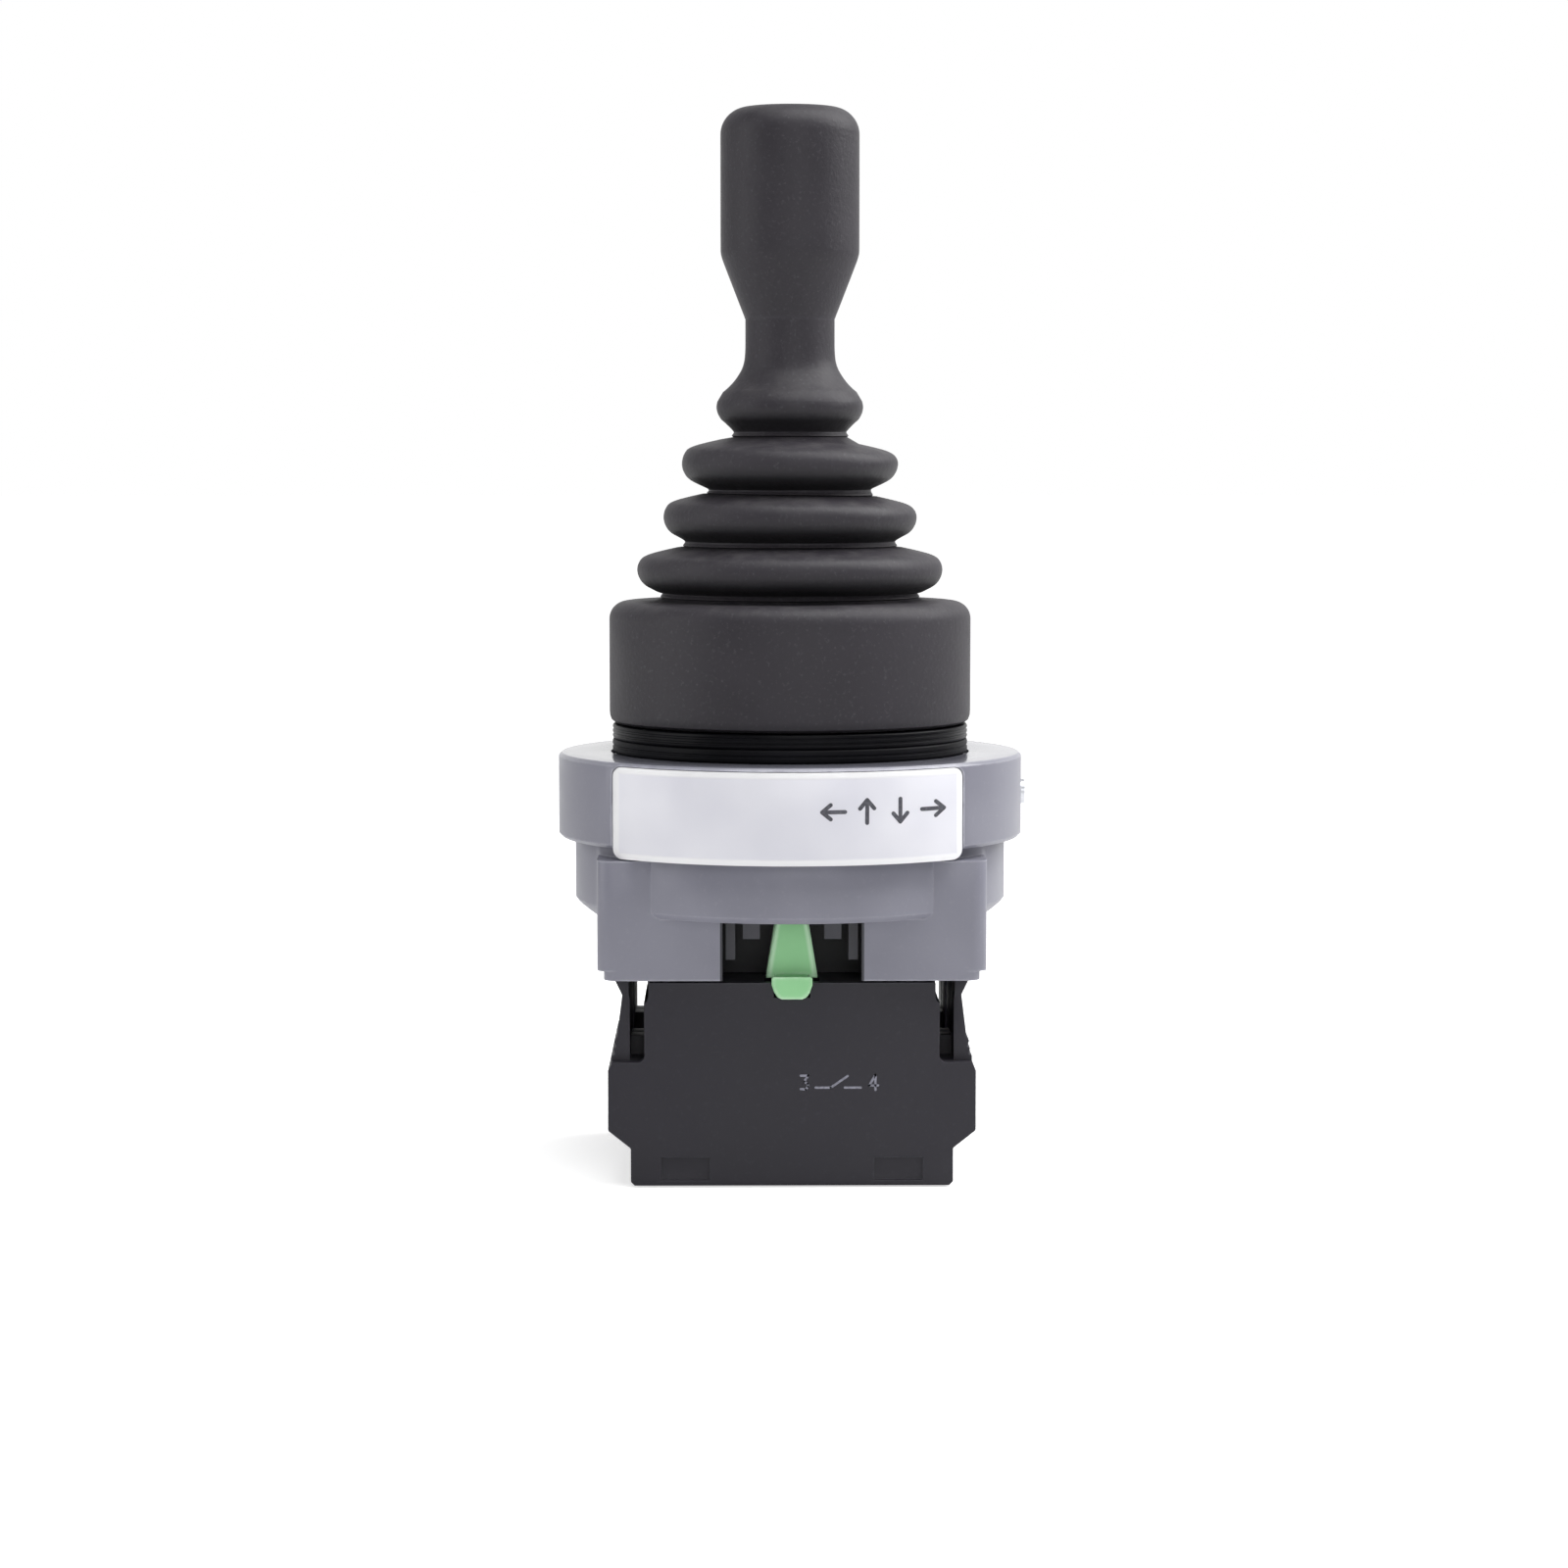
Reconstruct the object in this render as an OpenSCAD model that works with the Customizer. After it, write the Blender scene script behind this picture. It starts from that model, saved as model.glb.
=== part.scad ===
// Industrial joystick switch: a spring-return four-way lever on a 30 mm panel neck,
// with a mounting collar and four clip-on contact blocks behind the panel.
// Millimetres. +Z runs up the lever, the labelled front faces -Y, and z = 0 is the
// underside of the contact blocks.

/* [Lever] */
// Radius of the handle
grip_r = 7.5; // [6:0.1:10]
// Radius of the handle's lower end
grip_foot_r = 4.9; // [4:0.1:6]
// Length of the handle's cylindrical part
grip_len = 16; // [10:0.1:40]
// Length of the handle's taper
grip_taper = 6.7; // [4:0.1:15]
// Rounding of the handle's top edge
grip_round = 2.9; // [0.5:0.1:4]
// Radius of the steel lever
lever_r = 3; // [2:0.1:3.4]
// How far the lever reaches into the handle
lever_grip_depth = 15; // [8:0.5:24]
// Radius of the lever's lower stud
stud_r = 2; // [1.5:0.1:2.4]
// Radius of the hub at the pivot
hub_r = 4.2; // [4:0.1:5]
// Height of the pivot above the panel
pivot_up = 9.5; // [9:0.1:9.5]
// Hub above the pivot
hub_up = 3; // [2.6:0.1:4]
// Pivot down to the top of the swash plate
plate_drop = 4.3; // [4.3:0.1:5]
// Thickness of the swash plate
plate_t = 1.6; // [1:0.1:2.5]
// Radius of the swash plate
plate_r = 9.4; // [9.2:0.1:9.6]
// Height of the nut under the swash plate
nut_h = 2.2; // [1.5:0.1:3]
// Width across the corners of the nut
nut_w = 8; // [6:0.1:8.4]

/* [Gimbal] */
// Outer radius of the gimbal ring
gimbal_r = 8.5; // [8:0.1:9]
// Inner radius of the gimbal ring
gimbal_bore_r = 6; // [5.6:0.1:6.4]
// Height of the gimbal ring
gimbal_h = 4.4; // [4:0.1:4.4]
// Radius of the gimbal pins
pin_r = 1.25; // [0.8:0.05:1.5]
// Radius of the spacers on the outer pins
spacer_r = 1.75; // [1.6:0.05:1.8]
// Thickness of the gate plate
gate_t = 1.2; // [1:0.1:1.4]
// Half the width of the square gate
gate_half = 4.6; // [4.6:0.1:5.5]
// Rounding of the gate's corners
gate_corner = 2; // [1:0.1:2.5]

/* [Boot] */
// Height of the cup
cup_h = 13.4; // [12:0.1:20]
// Wall of the boot
boot_wall = 1.2; // [0.8:0.1:1.5]
// Wall of the cup
cup_wall = 1.5; // [1:0.1:1.6]
// Rounding of the cup's upper edge
cup_round = 1.6; // [0.5:0.1:2]
// Cup's top up to the middle of the lowest fold
fold_up = 3.1; // [3:0.1:4]
// Middle of the top fold up to the boot's end
boot_neck_h = 9.3; // [8:0.1:12]
// Radii of the four folds, from the top one down
fold_r = [8, 11.85, 13.9, 16.7]; // [7.8:0.05:17]
// Radii of the grooves under the folds
groove_r = [6, 8.9, 11.5, 13.9]; // [5.9:0.05:14]
// Distance between folds
fold_pitch = 6; // [5:0.1:8]
// Radius of a fold's round nose
fold_nose = 2.1; // [1.5:0.1:2.3]
// Radius of the boot's neck
boot_neck_r = 4.7; // [4.4:0.1:5.5]

/* [Neck] */
// Outer radius of the threaded neck
neck_r = 15; // [14:0.1:16]
// Wall of the neck
neck_wall = 2.8; // [2.6:0.1:3]
// Height of the neck above the panel
neck_up = 13.8; // [13.5:0.1:16]
// How far the neck's flange stands out
flange_out = 2.5; // [2.4:0.1:2.6]
// Thickness of the neck's flange
flange_t = 2.6; // [2:0.1:3]
// Lip inside the flange that carries the rod guide
lip = 1.7; // [1:0.1:1.8]
// How far the locking ring's rim and the gasket stand out from the neck
rim_out = 4.4; // [3.6:0.1:4.4]
// Height of the locking ring's rim
rim_h = 1.6; // [1:0.1:2.5]
// Wall of the locking ring inside the cup
ring_wall = 2.9; // [2.4:0.1:2.9]
// Height of the locking ring above its rim
ring_h = 9; // [6:0.1:10]
// Exposed height of the panel gasket
gasket_h = 1.5; // [1:0.1:2.5]
// Depth of the gasket's seat in the collar
seat_depth = 0.5; // [0.3:0.1:0.8]

/* [Push rods] */
// Distance of the push rods from the axis
rod_at = 7.5; // [7.5:0.1:8]
// Radius of a push rod
rod_r = 1.25; // [1:0.05:1.5]
// Gap between the swash plate and the rods at rest
rod_gap = 0.65; // [0.6:0.05:0.8]
// Length of the rod guide
guide_t = 3.5; // [2.5:0.1:4]
// Panel down to the top of the rod guide
guide_drop = 2.5; // [2:0.1:3]
// Thickness of a rod's foot
foot_t = 1.6; // [1:0.1:1.8]
// Width of a rod's foot
foot_w = 2.4; // [2:0.1:2.6]

/* [Collar] */
// Radius of the collar's upper ring
collar_r = 25.3; // [25:0.1:30]
// Height of the upper ring
collar_h = 9.1; // [8:0.1:14]
// How far the lower ring stands back from the upper one
collar_step = 1.8; // [1.4:0.1:2.4]
// Height of the lower ring's straight side
lower_h = 6.6; // [5:0.1:9]
// Height of the skirt below the lower ring's straight side
skirt_h = 7.3; // [7:0.1:9]
// Half the width of the skirt
skirt_x = 20.6; // [20.6:0.1:22]
// Half the depth of the skirt
skirt_y = 18.2; // [18:0.1:19]
// Half the width of the window in the skirt
window_x = 7.35; // [6:0.05:9]
// Height of the window
window_h = 6.6; // [5:0.1:7]
// Width of the name plate along its chord
label_w = 36.8; // [20:0.1:42]
// Height of the name plate
label_h = 9.7; // [5:0.1:9.7]
// Thickness of the name plate
label_t = 0.4; // [0.2:0.1:0.8]
// Radius of the set screws in the collar's sides
set_r = 1.35; // [1:0.05:1.8]

/* [Contact block] */
// Height of a block's body
block_h = 21.7; // [20:0.1:26]
// Distance from block to block
block_pitch = 8.75; // [8.6:0.05:9]
// Half the width of a block's foot
foot_x = 17.1; // [16:0.1:18]
// Half the width of a block's shoulders
shoulder_x = 19.5; // [18.8:0.05:20]
// Half the width of a block's upper body
body_x = 15.2; // [15:0.1:15.4]
// Wall of the case
case_wall = 1.1; // [0.8:0.1:1.4]
// Thickness of the cover
cover_t = 1.3; // [1.2:0.1:1.6]
// Width of the plunger where it meets the block
plunger_w = 5.5; // [4:0.1:5.8]
// Width of the plunger's top
plunger_top_w = 3.4; // [2.6:0.1:4]
// Height of the plunger above the block
plunger_up = 7.6; // [7:0.1:8]
// Half the length of the moving contact
bridge_x = 8.2; // [7.6:0.1:9]
// Distance of the terminal screws from the middle
screw_x = 11.5; // [11:0.1:12]
// Radius of a terminal screw's head
screw_head_r = 1.8; // [1.4:0.05:1.8]
// Radius of a terminal screw's thread
screw_r = 1.1; // [0.8:0.05:1.2]

/* [Fits] */
// Tilt to each side, in degrees
tilt = 13; // [8:1:13]
// Clearance of a running fit, on the radius
run = 0.05; // [0.02:0.01:0.08]
// Clearance of a seated fit, on the radius
seat = 0.02; // [0.01:0.01:0.04]
// Gap between neighbouring blocks, and from the blocks to the collar
block_gap = 0.15; // [0.1:0.05:0.3]
// Clearance round soft parts
soft = 0.3; // [0.2:0.05:0.5]
// Clearance of parts that never touch
free = 0.2; // [0.15:0.05:0.3]

/* [Hidden] */
$fn = 64;
e = 0.01;

// Levels, from the blocks up
skirt_z = block_h + 2 * block_gap;
lower_z = skirt_z + skirt_h;
upper_z = lower_z + lower_h;
panel_z = upper_z + collar_h;
pivot_z = panel_z + pivot_up;
gasket_z = panel_z - seat_depth;
rim_z = panel_z + gasket_h;
cup_z = rim_z + rim_h + seat * 5;
cup_top_z = cup_z + cup_h;
neck_top_z = panel_z + neck_up;
flange_z = upper_z - flange_t;
guide_z = panel_z - guide_drop - guide_t;
plate_z = pivot_z - plate_drop - plate_t;
rod_top_z = plate_z - rod_gap;
travel = rod_at * tilt * PI / 180;
plunger_z = skirt_z;
foot_z = skirt_z + plunger_up;

// Lever and gimbal
stud_tip = 0.6;
plate_edge = 0.5;
pin_inset = 0.6;
pin_gap = 0.3;
gate_sink = 0.7;
gate_head_h = 0.65;
gate_screw_l = 4;
spring_r = 5;
spring_wire = 0.45;
foot_r = 1.4;
foot_shift = 1.2;
guide_pocket_r = 3;
guide_pocket_h = 1.8;
notch_t = 1.3;
notch_w = 2;
notch_d = 1.5;

// Radii that follow the neck
neck_bore_r = neck_r - neck_wall;
neck_mid_r = neck_r - neck_wall / 2;
lip_r = neck_bore_r - lip;
flange_r = neck_r + flange_out;
rim_r = neck_r + rim_out;
ring_r = neck_r + ring_wall;
cup_r = ring_r + soft + cup_wall;
lower_r = collar_r - collar_step;

// Blocks
block_t = block_pitch - block_gap;
block_y = [for (i = [0:3]) (i - 1.5) * block_pitch];
front = -block_t / 2;
case_floor = 1.2;
roof_z = block_h - 1.4;
notch_z = roof_z - 0.2;
shoulder_z = 12.3;
foot_corner = 0.4;
foot_wall = 1.8;
post_r = 1.1;
post_h = 2.5;
wire_r = 1.2;
chamfer_z = 4;
wide_z = 5.9;
arm_z = 13.2;
arm_out_x = 18.7;
arm_waist_x = 18;
arm_in_x = 17.3;
beside_arm_x = 15.6;
beside_arm_w = 5;
beside_arm_r = 0.8;
hook_x = 19.7;
hook_z = skirt_z + 1.3;
hook_top_z = hook_z + 2.9;
hook_half_y = 2.6;
hook_h = 0.7;
slot_r = (arm_in_x - body_x) / 2;
slot_depth = 2.5;
slot_z = block_h - slot_depth;
teeth = [[0.35, 0.5], [0.7, 0.7], [0.55, 1.3], [0.85, 1.5], [0.65, 2.1], [0.95, 2.6]];
groove_depth = 6;
groove_step = 2;
groove_in_x = 15.7;
groove_out_x = 17.2;
strip_top_z = 9.4;
strip_t = 0.8;
tip_x = 7;
tip_r = 0.9;
tip_t = 0.55;
bridge_t = 0.8;
bridge_w = 3;
bridge_z = strip_top_z + tip_t + travel + run + tip_t;
stem_x = 1.7;
stem_y1 = 1.5;
strip_y0 = -2.4;
strip_y1 = block_t / 2 - case_wall;
strip_x1 = 13.8;
strip_over = 1.3;
clamp_z = 6.4;
clamp_t = 1;
clamp_half = 2.2;
head_h = 2;
screw_top_z = 10.6;
screw_slot = 0.6;
tongue_h = 2;
tongue_out = 0.5;
tongue_x = 2.15;
tongue_side_x = 1.8;
tongue_tip_x = 1.3;
tongue_corner = 0.5;
web_h = 0.4;
plunger_top_h = 1.2;
plunger_face = front + cover_t + free;
coil_r = 1.8;
coil_wire = 0.25;
dent_x = 11.3;
dent_w = 5.2;
dent_z = 0.6;
dent_h = 2.4;
dent_d = 0.4;

// Boot
fold_z = [for (i = [0:3]) cup_top_z + fold_up + (3 - i) * fold_pitch];
neck_end_z = fold_z[0] + boot_neck_h;
groove_top = 0.2;
groove_foot = 0.5;
flare_up = 5.4;
flare_round = 3.4;
bore_up = 4.2;
fold_hollow = 0.6;
cup_roof = 1.3;
cup_edge = 1;
grip_gap = 0.1;
grip_z = neck_end_z + grip_gap;
grip_shoulder_z = grip_z + grip_taper;
grip_top_z = grip_shoulder_z + grip_len;

// Collar
cavity_x = 18.9;
cavity_y = block_y[3] + hook_half_y + free;
roof_gap = 0.8;
cavity_top_z = hook_top_z + roof_gap;
hook_pocket_x = hook_x + free;
pocket_y = block_y[3] + block_t / 2 + 1.5 * free;
pocket_top_z = foot_z + travel + 2.5 * free;
window_top_z = skirt_z + window_h;
collar_edge = 0.35;
neck_gap = 0.15;
turn_x = 2.2;
turn_up = 0.6;
turn_z = 1.3;
turn_bulge = 1.25;
skirt_round = 1.6;
skirt_step_x = 0.7;
skirt_step_z = 1;
rib_x = 4.3;
rib_w = 1.8;
rib_t = 1.2;
rib_drop = 2.2;
bar_x = 6.5;
bar_w = 1;
bar_t = 2;
bar_back = 1.6;
bar_drop = 4.6;
m_screw_r = 0.75;
m_head_r = 1.15;
m_head_h = 0.8;
screw_edge = 1.2;
screw_at = flange_r - screw_edge;
skirt_screw_at = flange_r + m_head_r + 2 * free;
rib_root = skirt_y + 1;
frame_screw_l = 3.5;
set_out = 0.4;
set_in = 0.4;
set_drop = 4.5;
set_z = panel_z - set_drop;
label_over = 1;
label_turn = -1.6;
label_z = upper_z - label_over;
label_corner = 1;
label_gap = 0.08;
key_w = 2.4;
key_h = 0.8;
key_len = collar_h - seat_depth - 5 * free;
shield_t = 0.8;

// A tube between two levels
module tube(r_out, r_in, z0, z1) {
    difference() {
        translate([0, 0, z0]) cylinder(r = r_out, h = z1 - z0, $fn = 128);
        translate([0, 0, z0 - 1]) cylinder(r = r_in, h = z1 - z0 + 2, $fn = 128);
    }
}

// A rod along X or Y from the axis outwards
module side_rod(r, from, to, angle) {
    rotate([0, 0, angle]) translate([from, 0, 0]) rotate([0, 90, 0]) cylinder(r = r, h = to - from);
}

// A box between x and -x, y0 and y1, z0 and z1
module span(x, y0, y1, z0, z1) {
    translate([-x, y0, z0]) cube([2 * x, y1 - y0, z1 - z0]);
}

// A rectangle with round corners, from its half sizes
module round_rect(x, y, r) {
    square([2 * x, 2 * (y - r)], center = true);
    square([2 * (x - r), 2 * y], center = true);
    for (sx = [-1, 1], sy = [-1, 1]) translate([sx * (x - r), sy * (y - r)]) circle(r = r, $fn = 32);
}

// A round wire wound into a coil of n turns between two levels
function coil_ring(a, r, h, n, wire, sides) = [
    for (s = [0:sides - 1])
        let (w = 360 * s / sides)
            [(r + wire * cos(w)) * cos(a), (r + wire * cos(w)) * sin(a),
             wire + (h - 2 * wire) * a / (360 * n) + wire * sin(w)]
];
module coil(r, h, n, wire, steps = 16, sides = 8) {
    rings = n * steps;
    points = [for (i = [0:rings]) each coil_ring(i * 360 / steps, r, h, n, wire, sides)];
    walls = [
        for (i = [0:rings - 1], s = [0:sides - 1])
            let (a = i * sides + s, b = i * sides + (s + 1) % sides)
                each [[a, a + sides, b], [b, a + sides, b + sides]]
    ];
    caps = [[for (s = [0:sides - 1]) s], [for (s = [sides - 1:-1:0]) rings * sides + s]];
    polyhedron(points = points, faces = concat(walls, caps), convexity = 10);
}

// ---- lever ----

module grip() {
    arc = [
        for (a = [0:15:90])
            [grip_r - grip_round + grip_round * cos(a), grip_top_z - grip_round + grip_round * sin(a)]
    ];
    color("#3e3c40") difference() {
        rotate_extrude($fn = 128) polygon(concat(
            [[0, grip_z], [grip_foot_r, grip_z], [grip_r, grip_shoulder_z]], arc, [[0, grip_top_z]]
        ));
        translate([0, 0, grip_z - 1]) cylinder(r = lever_r + seat, h = lever_grip_depth + 1);
    }
}

module lever_shaft() {
    stud_z = plate_z - nut_h - stud_tip;
    color("silver") {
        translate([0, 0, pivot_z + hub_up])
            cylinder(r = lever_r, h = grip_z + lever_grip_depth - pivot_z - hub_up);
        translate([0, 0, stud_z]) cylinder(r = stud_r, h = pivot_z + hub_up - stud_z + e);
    }
}

module lever_hub() {
    color("gray") difference() {
        translate([0, 0, pivot_z - plate_drop]) cylinder(r = hub_r, h = plate_drop + hub_up);
        translate([0, 0, pivot_z - plate_drop - 1]) cylinder(r = stud_r + seat, h = plate_drop + hub_up + 2);
        for (a = [0, 180]) translate([0, 0, pivot_z]) side_rod(pin_r + seat, stud_r, hub_r + 1, a);
    }
}

module swash_plate() {
    color("dimgray") rotate_extrude($fn = 128) polygon([
        [stud_r + seat, plate_z], [plate_r - plate_edge, plate_z], [plate_r, plate_z + plate_edge],
        [plate_r, plate_z + plate_t], [stud_r + seat, plate_z + plate_t]
    ]);
}

module lever_nut() {
    color("silver") difference() {
        translate([0, 0, plate_z - nut_h]) cylinder(d = nut_w, h = nut_h, $fn = 6);
        translate([0, 0, plate_z - nut_h - 1]) cylinder(r = stud_r + seat, h = nut_h + 2);
    }
}

// ---- gimbal ----

module gimbal_ring() {
    color("darkgray") difference() {
        tube(gimbal_r, gimbal_bore_r, pivot_z - gimbal_h / 2, pivot_z + gimbal_h / 2);
        for (a = [0:90:270]) translate([0, 0, pivot_z])
            side_rod(pin_r + run, gimbal_bore_r - 1, gimbal_r + 1, a);
    }
}

module gimbal_outer_pins() {
    color("silver") for (a = [90, 270])
        translate([0, 0, pivot_z]) side_rod(pin_r, gimbal_bore_r + pin_gap, neck_r - pin_inset, a);
}

module pin_spacers() {
    color("goldenrod") for (a = [90, 270]) translate([0, 0, pivot_z]) difference() {
        side_rod(spacer_r, gimbal_r + free, neck_bore_r - 2 * free, a);
        side_rod(pin_r + seat, gimbal_r - 1, neck_bore_r + 1, a);
    }
}

module gimbal_inner_pins() {
    color("silver") for (a = [0, 180])
        translate([0, 0, pivot_z]) side_rod(pin_r, stud_r + pin_inset, gimbal_r - free, a);
}

module gate_plate() {
    color("#2c2c30") difference() {
        translate([0, 0, neck_top_z]) cylinder(r = neck_r - free, h = gate_t, $fn = 128);
        translate([0, 0, neck_top_z - 1]) linear_extrude(gate_t + 2)
            round_rect(gate_half, gate_half, gate_corner);
        for (a = [45:90:315]) rotate([0, 0, a]) translate([neck_mid_r, 0, neck_top_z]) {
            translate([0, 0, -1]) cylinder(r = m_screw_r + seat, h = gate_t + 2);
            translate([0, 0, gate_t - gate_sink]) cylinder(r = m_head_r + seat, h = gate_sink + 1);
        }
    }
}

module gate_screws() {
    head_z = gate_t - gate_sink;
    color("silver") for (a = [45:90:315]) rotate([0, 0, a]) translate([neck_mid_r, 0, neck_top_z]) {
        translate([0, 0, -gate_screw_l]) cylinder(r = m_screw_r, h = gate_screw_l + head_z + e);
        translate([0, 0, head_z]) cylinder(r = m_head_r, h = gate_head_h);
    }
}

module return_spring() {
    color("lightgray") translate([0, 0, guide_z + guide_t + e])
        coil(spring_r, plate_z - guide_z - guide_t - 2 * e, 4, spring_wire);
}

// ---- boot, ring and neck ----

// Profile of a fold, from its upper groove to its lower one, moved inwards by the wall
function fold_arc(i, w) = [
    for (a = [75:-15:-75])
        [fold_r[i] - fold_nose + (fold_nose - w) * cos(a), fold_z[i] + (fold_nose - w) * sin(a)]
];
function groove_pair(i, w) = [
    [groove_r[i] - w, fold_z[i] - fold_pitch / 2 + groove_top],
    [groove_r[i] - w, fold_z[i] - fold_pitch / 2 - groove_foot]
];
function flare(w) = [
    for (a = [0:15:60])
        [boot_neck_r - w + flare_round * (1 - cos(a)), fold_z[0] + flare_up - flare_round * sin(a)]
];

// The widest part of a fold's hollow
function hollow(i) = [
    [fold_r[i] - boot_wall - fold_hollow, fold_z[i] - fold_hollow],
    [fold_r[i] - boot_wall - fold_hollow, fold_z[i] + fold_hollow]
];

module boot() {
    inner_top_z = cup_top_z - cup_roof;
    low_z = fold_z[3] - fold_pitch / 2;
    outside = concat(
        [[boot_neck_r, neck_end_z]], flare(0),
        fold_arc(0, 0), groove_pair(0, 0), fold_arc(1, 0), groove_pair(1, 0),
        fold_arc(2, 0), groove_pair(2, 0), fold_arc(3, 0),
        [[groove_r[3], low_z + groove_top], [groove_r[3], cup_top_z]],
        [
            for (a = [90:-15:0])
                [cup_r - cup_round + cup_round * cos(a), cup_top_z - cup_round + cup_round * sin(a)]
        ],
        [[cup_r, cup_z + cup_edge], [cup_r - cup_edge, cup_z]]
    );
    inside = concat(
        [[ring_r + soft, cup_z], [ring_r + soft, inner_top_z]],
        [
            [groove_r[3] - boot_wall, inner_top_z],
            [groove_r[3] - boot_wall, fold_z[3] - fold_nose + groove_top]
        ],
        [for (i = [3:-1:1]) each concat(hollow(i), [
            [groove_r[i - 1] - boot_wall, fold_z[i - 1] - fold_pitch / 2 - groove_foot],
            [groove_r[i - 1] - boot_wall, fold_z[i - 1] - fold_pitch / 2 + groove_top]
        ])],
        hollow(0),
        [[lever_r + soft, fold_z[0] + bore_up], [lever_r + soft, neck_end_z]]
    );
    color("#3e3c40") rotate_extrude($fn = 128) polygon(concat(outside, inside));
}

module locking_ring() {
    r = rim_h / 2;
    top_z = rim_z + rim_h + ring_h;
    color("#202024") difference() {
        union() {
            tube(ring_r, neck_r + run, rim_z + e, top_z);
            rotate_extrude($fn = 128) {
                translate([neck_r + run, rim_z]) square([rim_r - r - neck_r - run, rim_h]);
                translate([rim_r - r, rim_z + r]) circle(r = r, $fn = 48);
            }
        }
        for (a = [0:45:315]) rotate([0, 0, a]) translate([ring_r - notch_t, -notch_w / 2, top_z - notch_d])
            cube([notch_t + 1, notch_w, notch_d + 1]);
    }
}

module panel_gasket() {
    r = gasket_h / 2;
    color("#202024") rotate_extrude($fn = 128) {
        translate([neck_r + run, gasket_z]) square([rim_r - r - neck_r - run, gasket_h + seat_depth]);
        translate([rim_r - r, panel_z + r]) circle(r = r, $fn = 48);
    }
}

module neck_body() {
    color("#202024") difference() {
        union() {
            translate([0, 0, flange_z]) cylinder(r = flange_r, h = flange_t, $fn = 128);
            translate([0, 0, flange_z]) cylinder(r = neck_r, h = neck_top_z - flange_z, $fn = 128);
            translate([-key_w / 2, 0, upper_z - e]) cube([key_w, neck_r + key_h, key_len]);
        }
        translate([0, 0, guide_z]) cylinder(r = neck_bore_r, h = neck_top_z - guide_z + 1, $fn = 128);
        translate([0, 0, flange_z - 1]) cylinder(r = lip_r, h = guide_z - flange_z + 2, $fn = 128);
        for (a = [90, 270]) translate([0, 0, pivot_z]) side_rod(pin_r + seat, neck_bore_r - 1, neck_r + 1, a);
        for (a = [45:90:315]) rotate([0, 0, a]) {
            translate([neck_mid_r, 0, neck_top_z - gate_screw_l - 2 * free])
                cylinder(r = m_screw_r + seat, h = gate_screw_l + 1);
            translate([screw_at, 0, flange_z - 1]) cylinder(r = m_screw_r + seat, h = flange_t + 2);
        }
    }
}

module rod_guide() {
    color("whitesmoke") difference() {
        translate([0, 0, guide_z]) cylinder(r = neck_bore_r - seat, h = guide_t, $fn = 128);
        for (a = [0:90:270]) rotate([0, 0, a]) translate([rod_at, 0, guide_z - 1])
            cylinder(r = rod_r + run, h = guide_t + 2);
        translate([0, 0, guide_z - 1]) cylinder(r = guide_pocket_r, h = guide_pocket_h + 1);
    }
}

// ---- push rods ----

// A domed rod at one side of the axis, whose foot reaches over the plunger of one block
module push_rod(angle, block) {
    at = [rod_at * cos(angle), rod_at * sin(angle)];
    over = [0, block_y[block] + plunger_reach(block)];
    way = over - at;
    color("ivory") {
        translate([at.x, at.y, foot_z]) cylinder(r = rod_r, h = rod_top_z - rod_r - foot_z);
        translate([at.x, at.y, rod_top_z - rod_r]) sphere(r = rod_r, $fn = 48);
        translate([over.x, over.y, foot_z]) cylinder(r = foot_r, h = foot_t);
        translate([at.x, at.y, foot_z]) rotate([0, 0, atan2(way.y, way.x)])
            translate([0, -foot_w / 2, 0]) cube([norm(way), foot_w, foot_t]);
    }
}
// Where the foot lands, measured from the middle of the block
function plunger_reach(block) = block == 0 ? -foot_shift : block == 3 ? foot_shift : 0;

module push_rod_front() push_rod(270, 0);
module push_rod_left() push_rod(180, 1);
module push_rod_right() push_rod(0, 2);
module push_rod_back() push_rod(90, 3);

// ---- collar ----

module collar() {
    color("#8c8c98") difference() {
        rotate_extrude($fn = 160) polygon([
            [0, upper_z], [collar_r - collar_edge, upper_z], [collar_r, upper_z + collar_edge],
            [collar_r, panel_z - collar_edge], [collar_r - collar_edge, panel_z], [0, panel_z]
        ]);
        // Bore with the key's way, and the gasket's seat
        translate([0, 0, upper_z - 1]) cylinder(r = neck_r + neck_gap, h = collar_h + 2, $fn = 128);
        translate([0, 0, gasket_z]) cylinder(r = rim_r + free, h = seat_depth + 1, $fn = 128);
        translate([-key_w / 2 - neck_gap, 0, upper_z - 1])
            cube([key_w + 2 * neck_gap, neck_r + key_h + neck_gap, collar_h + 2]);
        // Screws
        for (a = [45:90:315], r = [screw_at, skirt_screw_at]) rotate([0, 0, a])
            translate([r, 0, upper_z - 1]) cylinder(r = m_screw_r + seat, h = frame_screw_l + 1 + free);
        for (a = [0, 180]) translate([0, 0, set_z]) side_rod(set_r + seat, neck_r - 1, collar_r + 1, a);
        label_shape(label_gap, collar_r - label_t - seat, collar_r + 1);
    }
}

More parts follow.
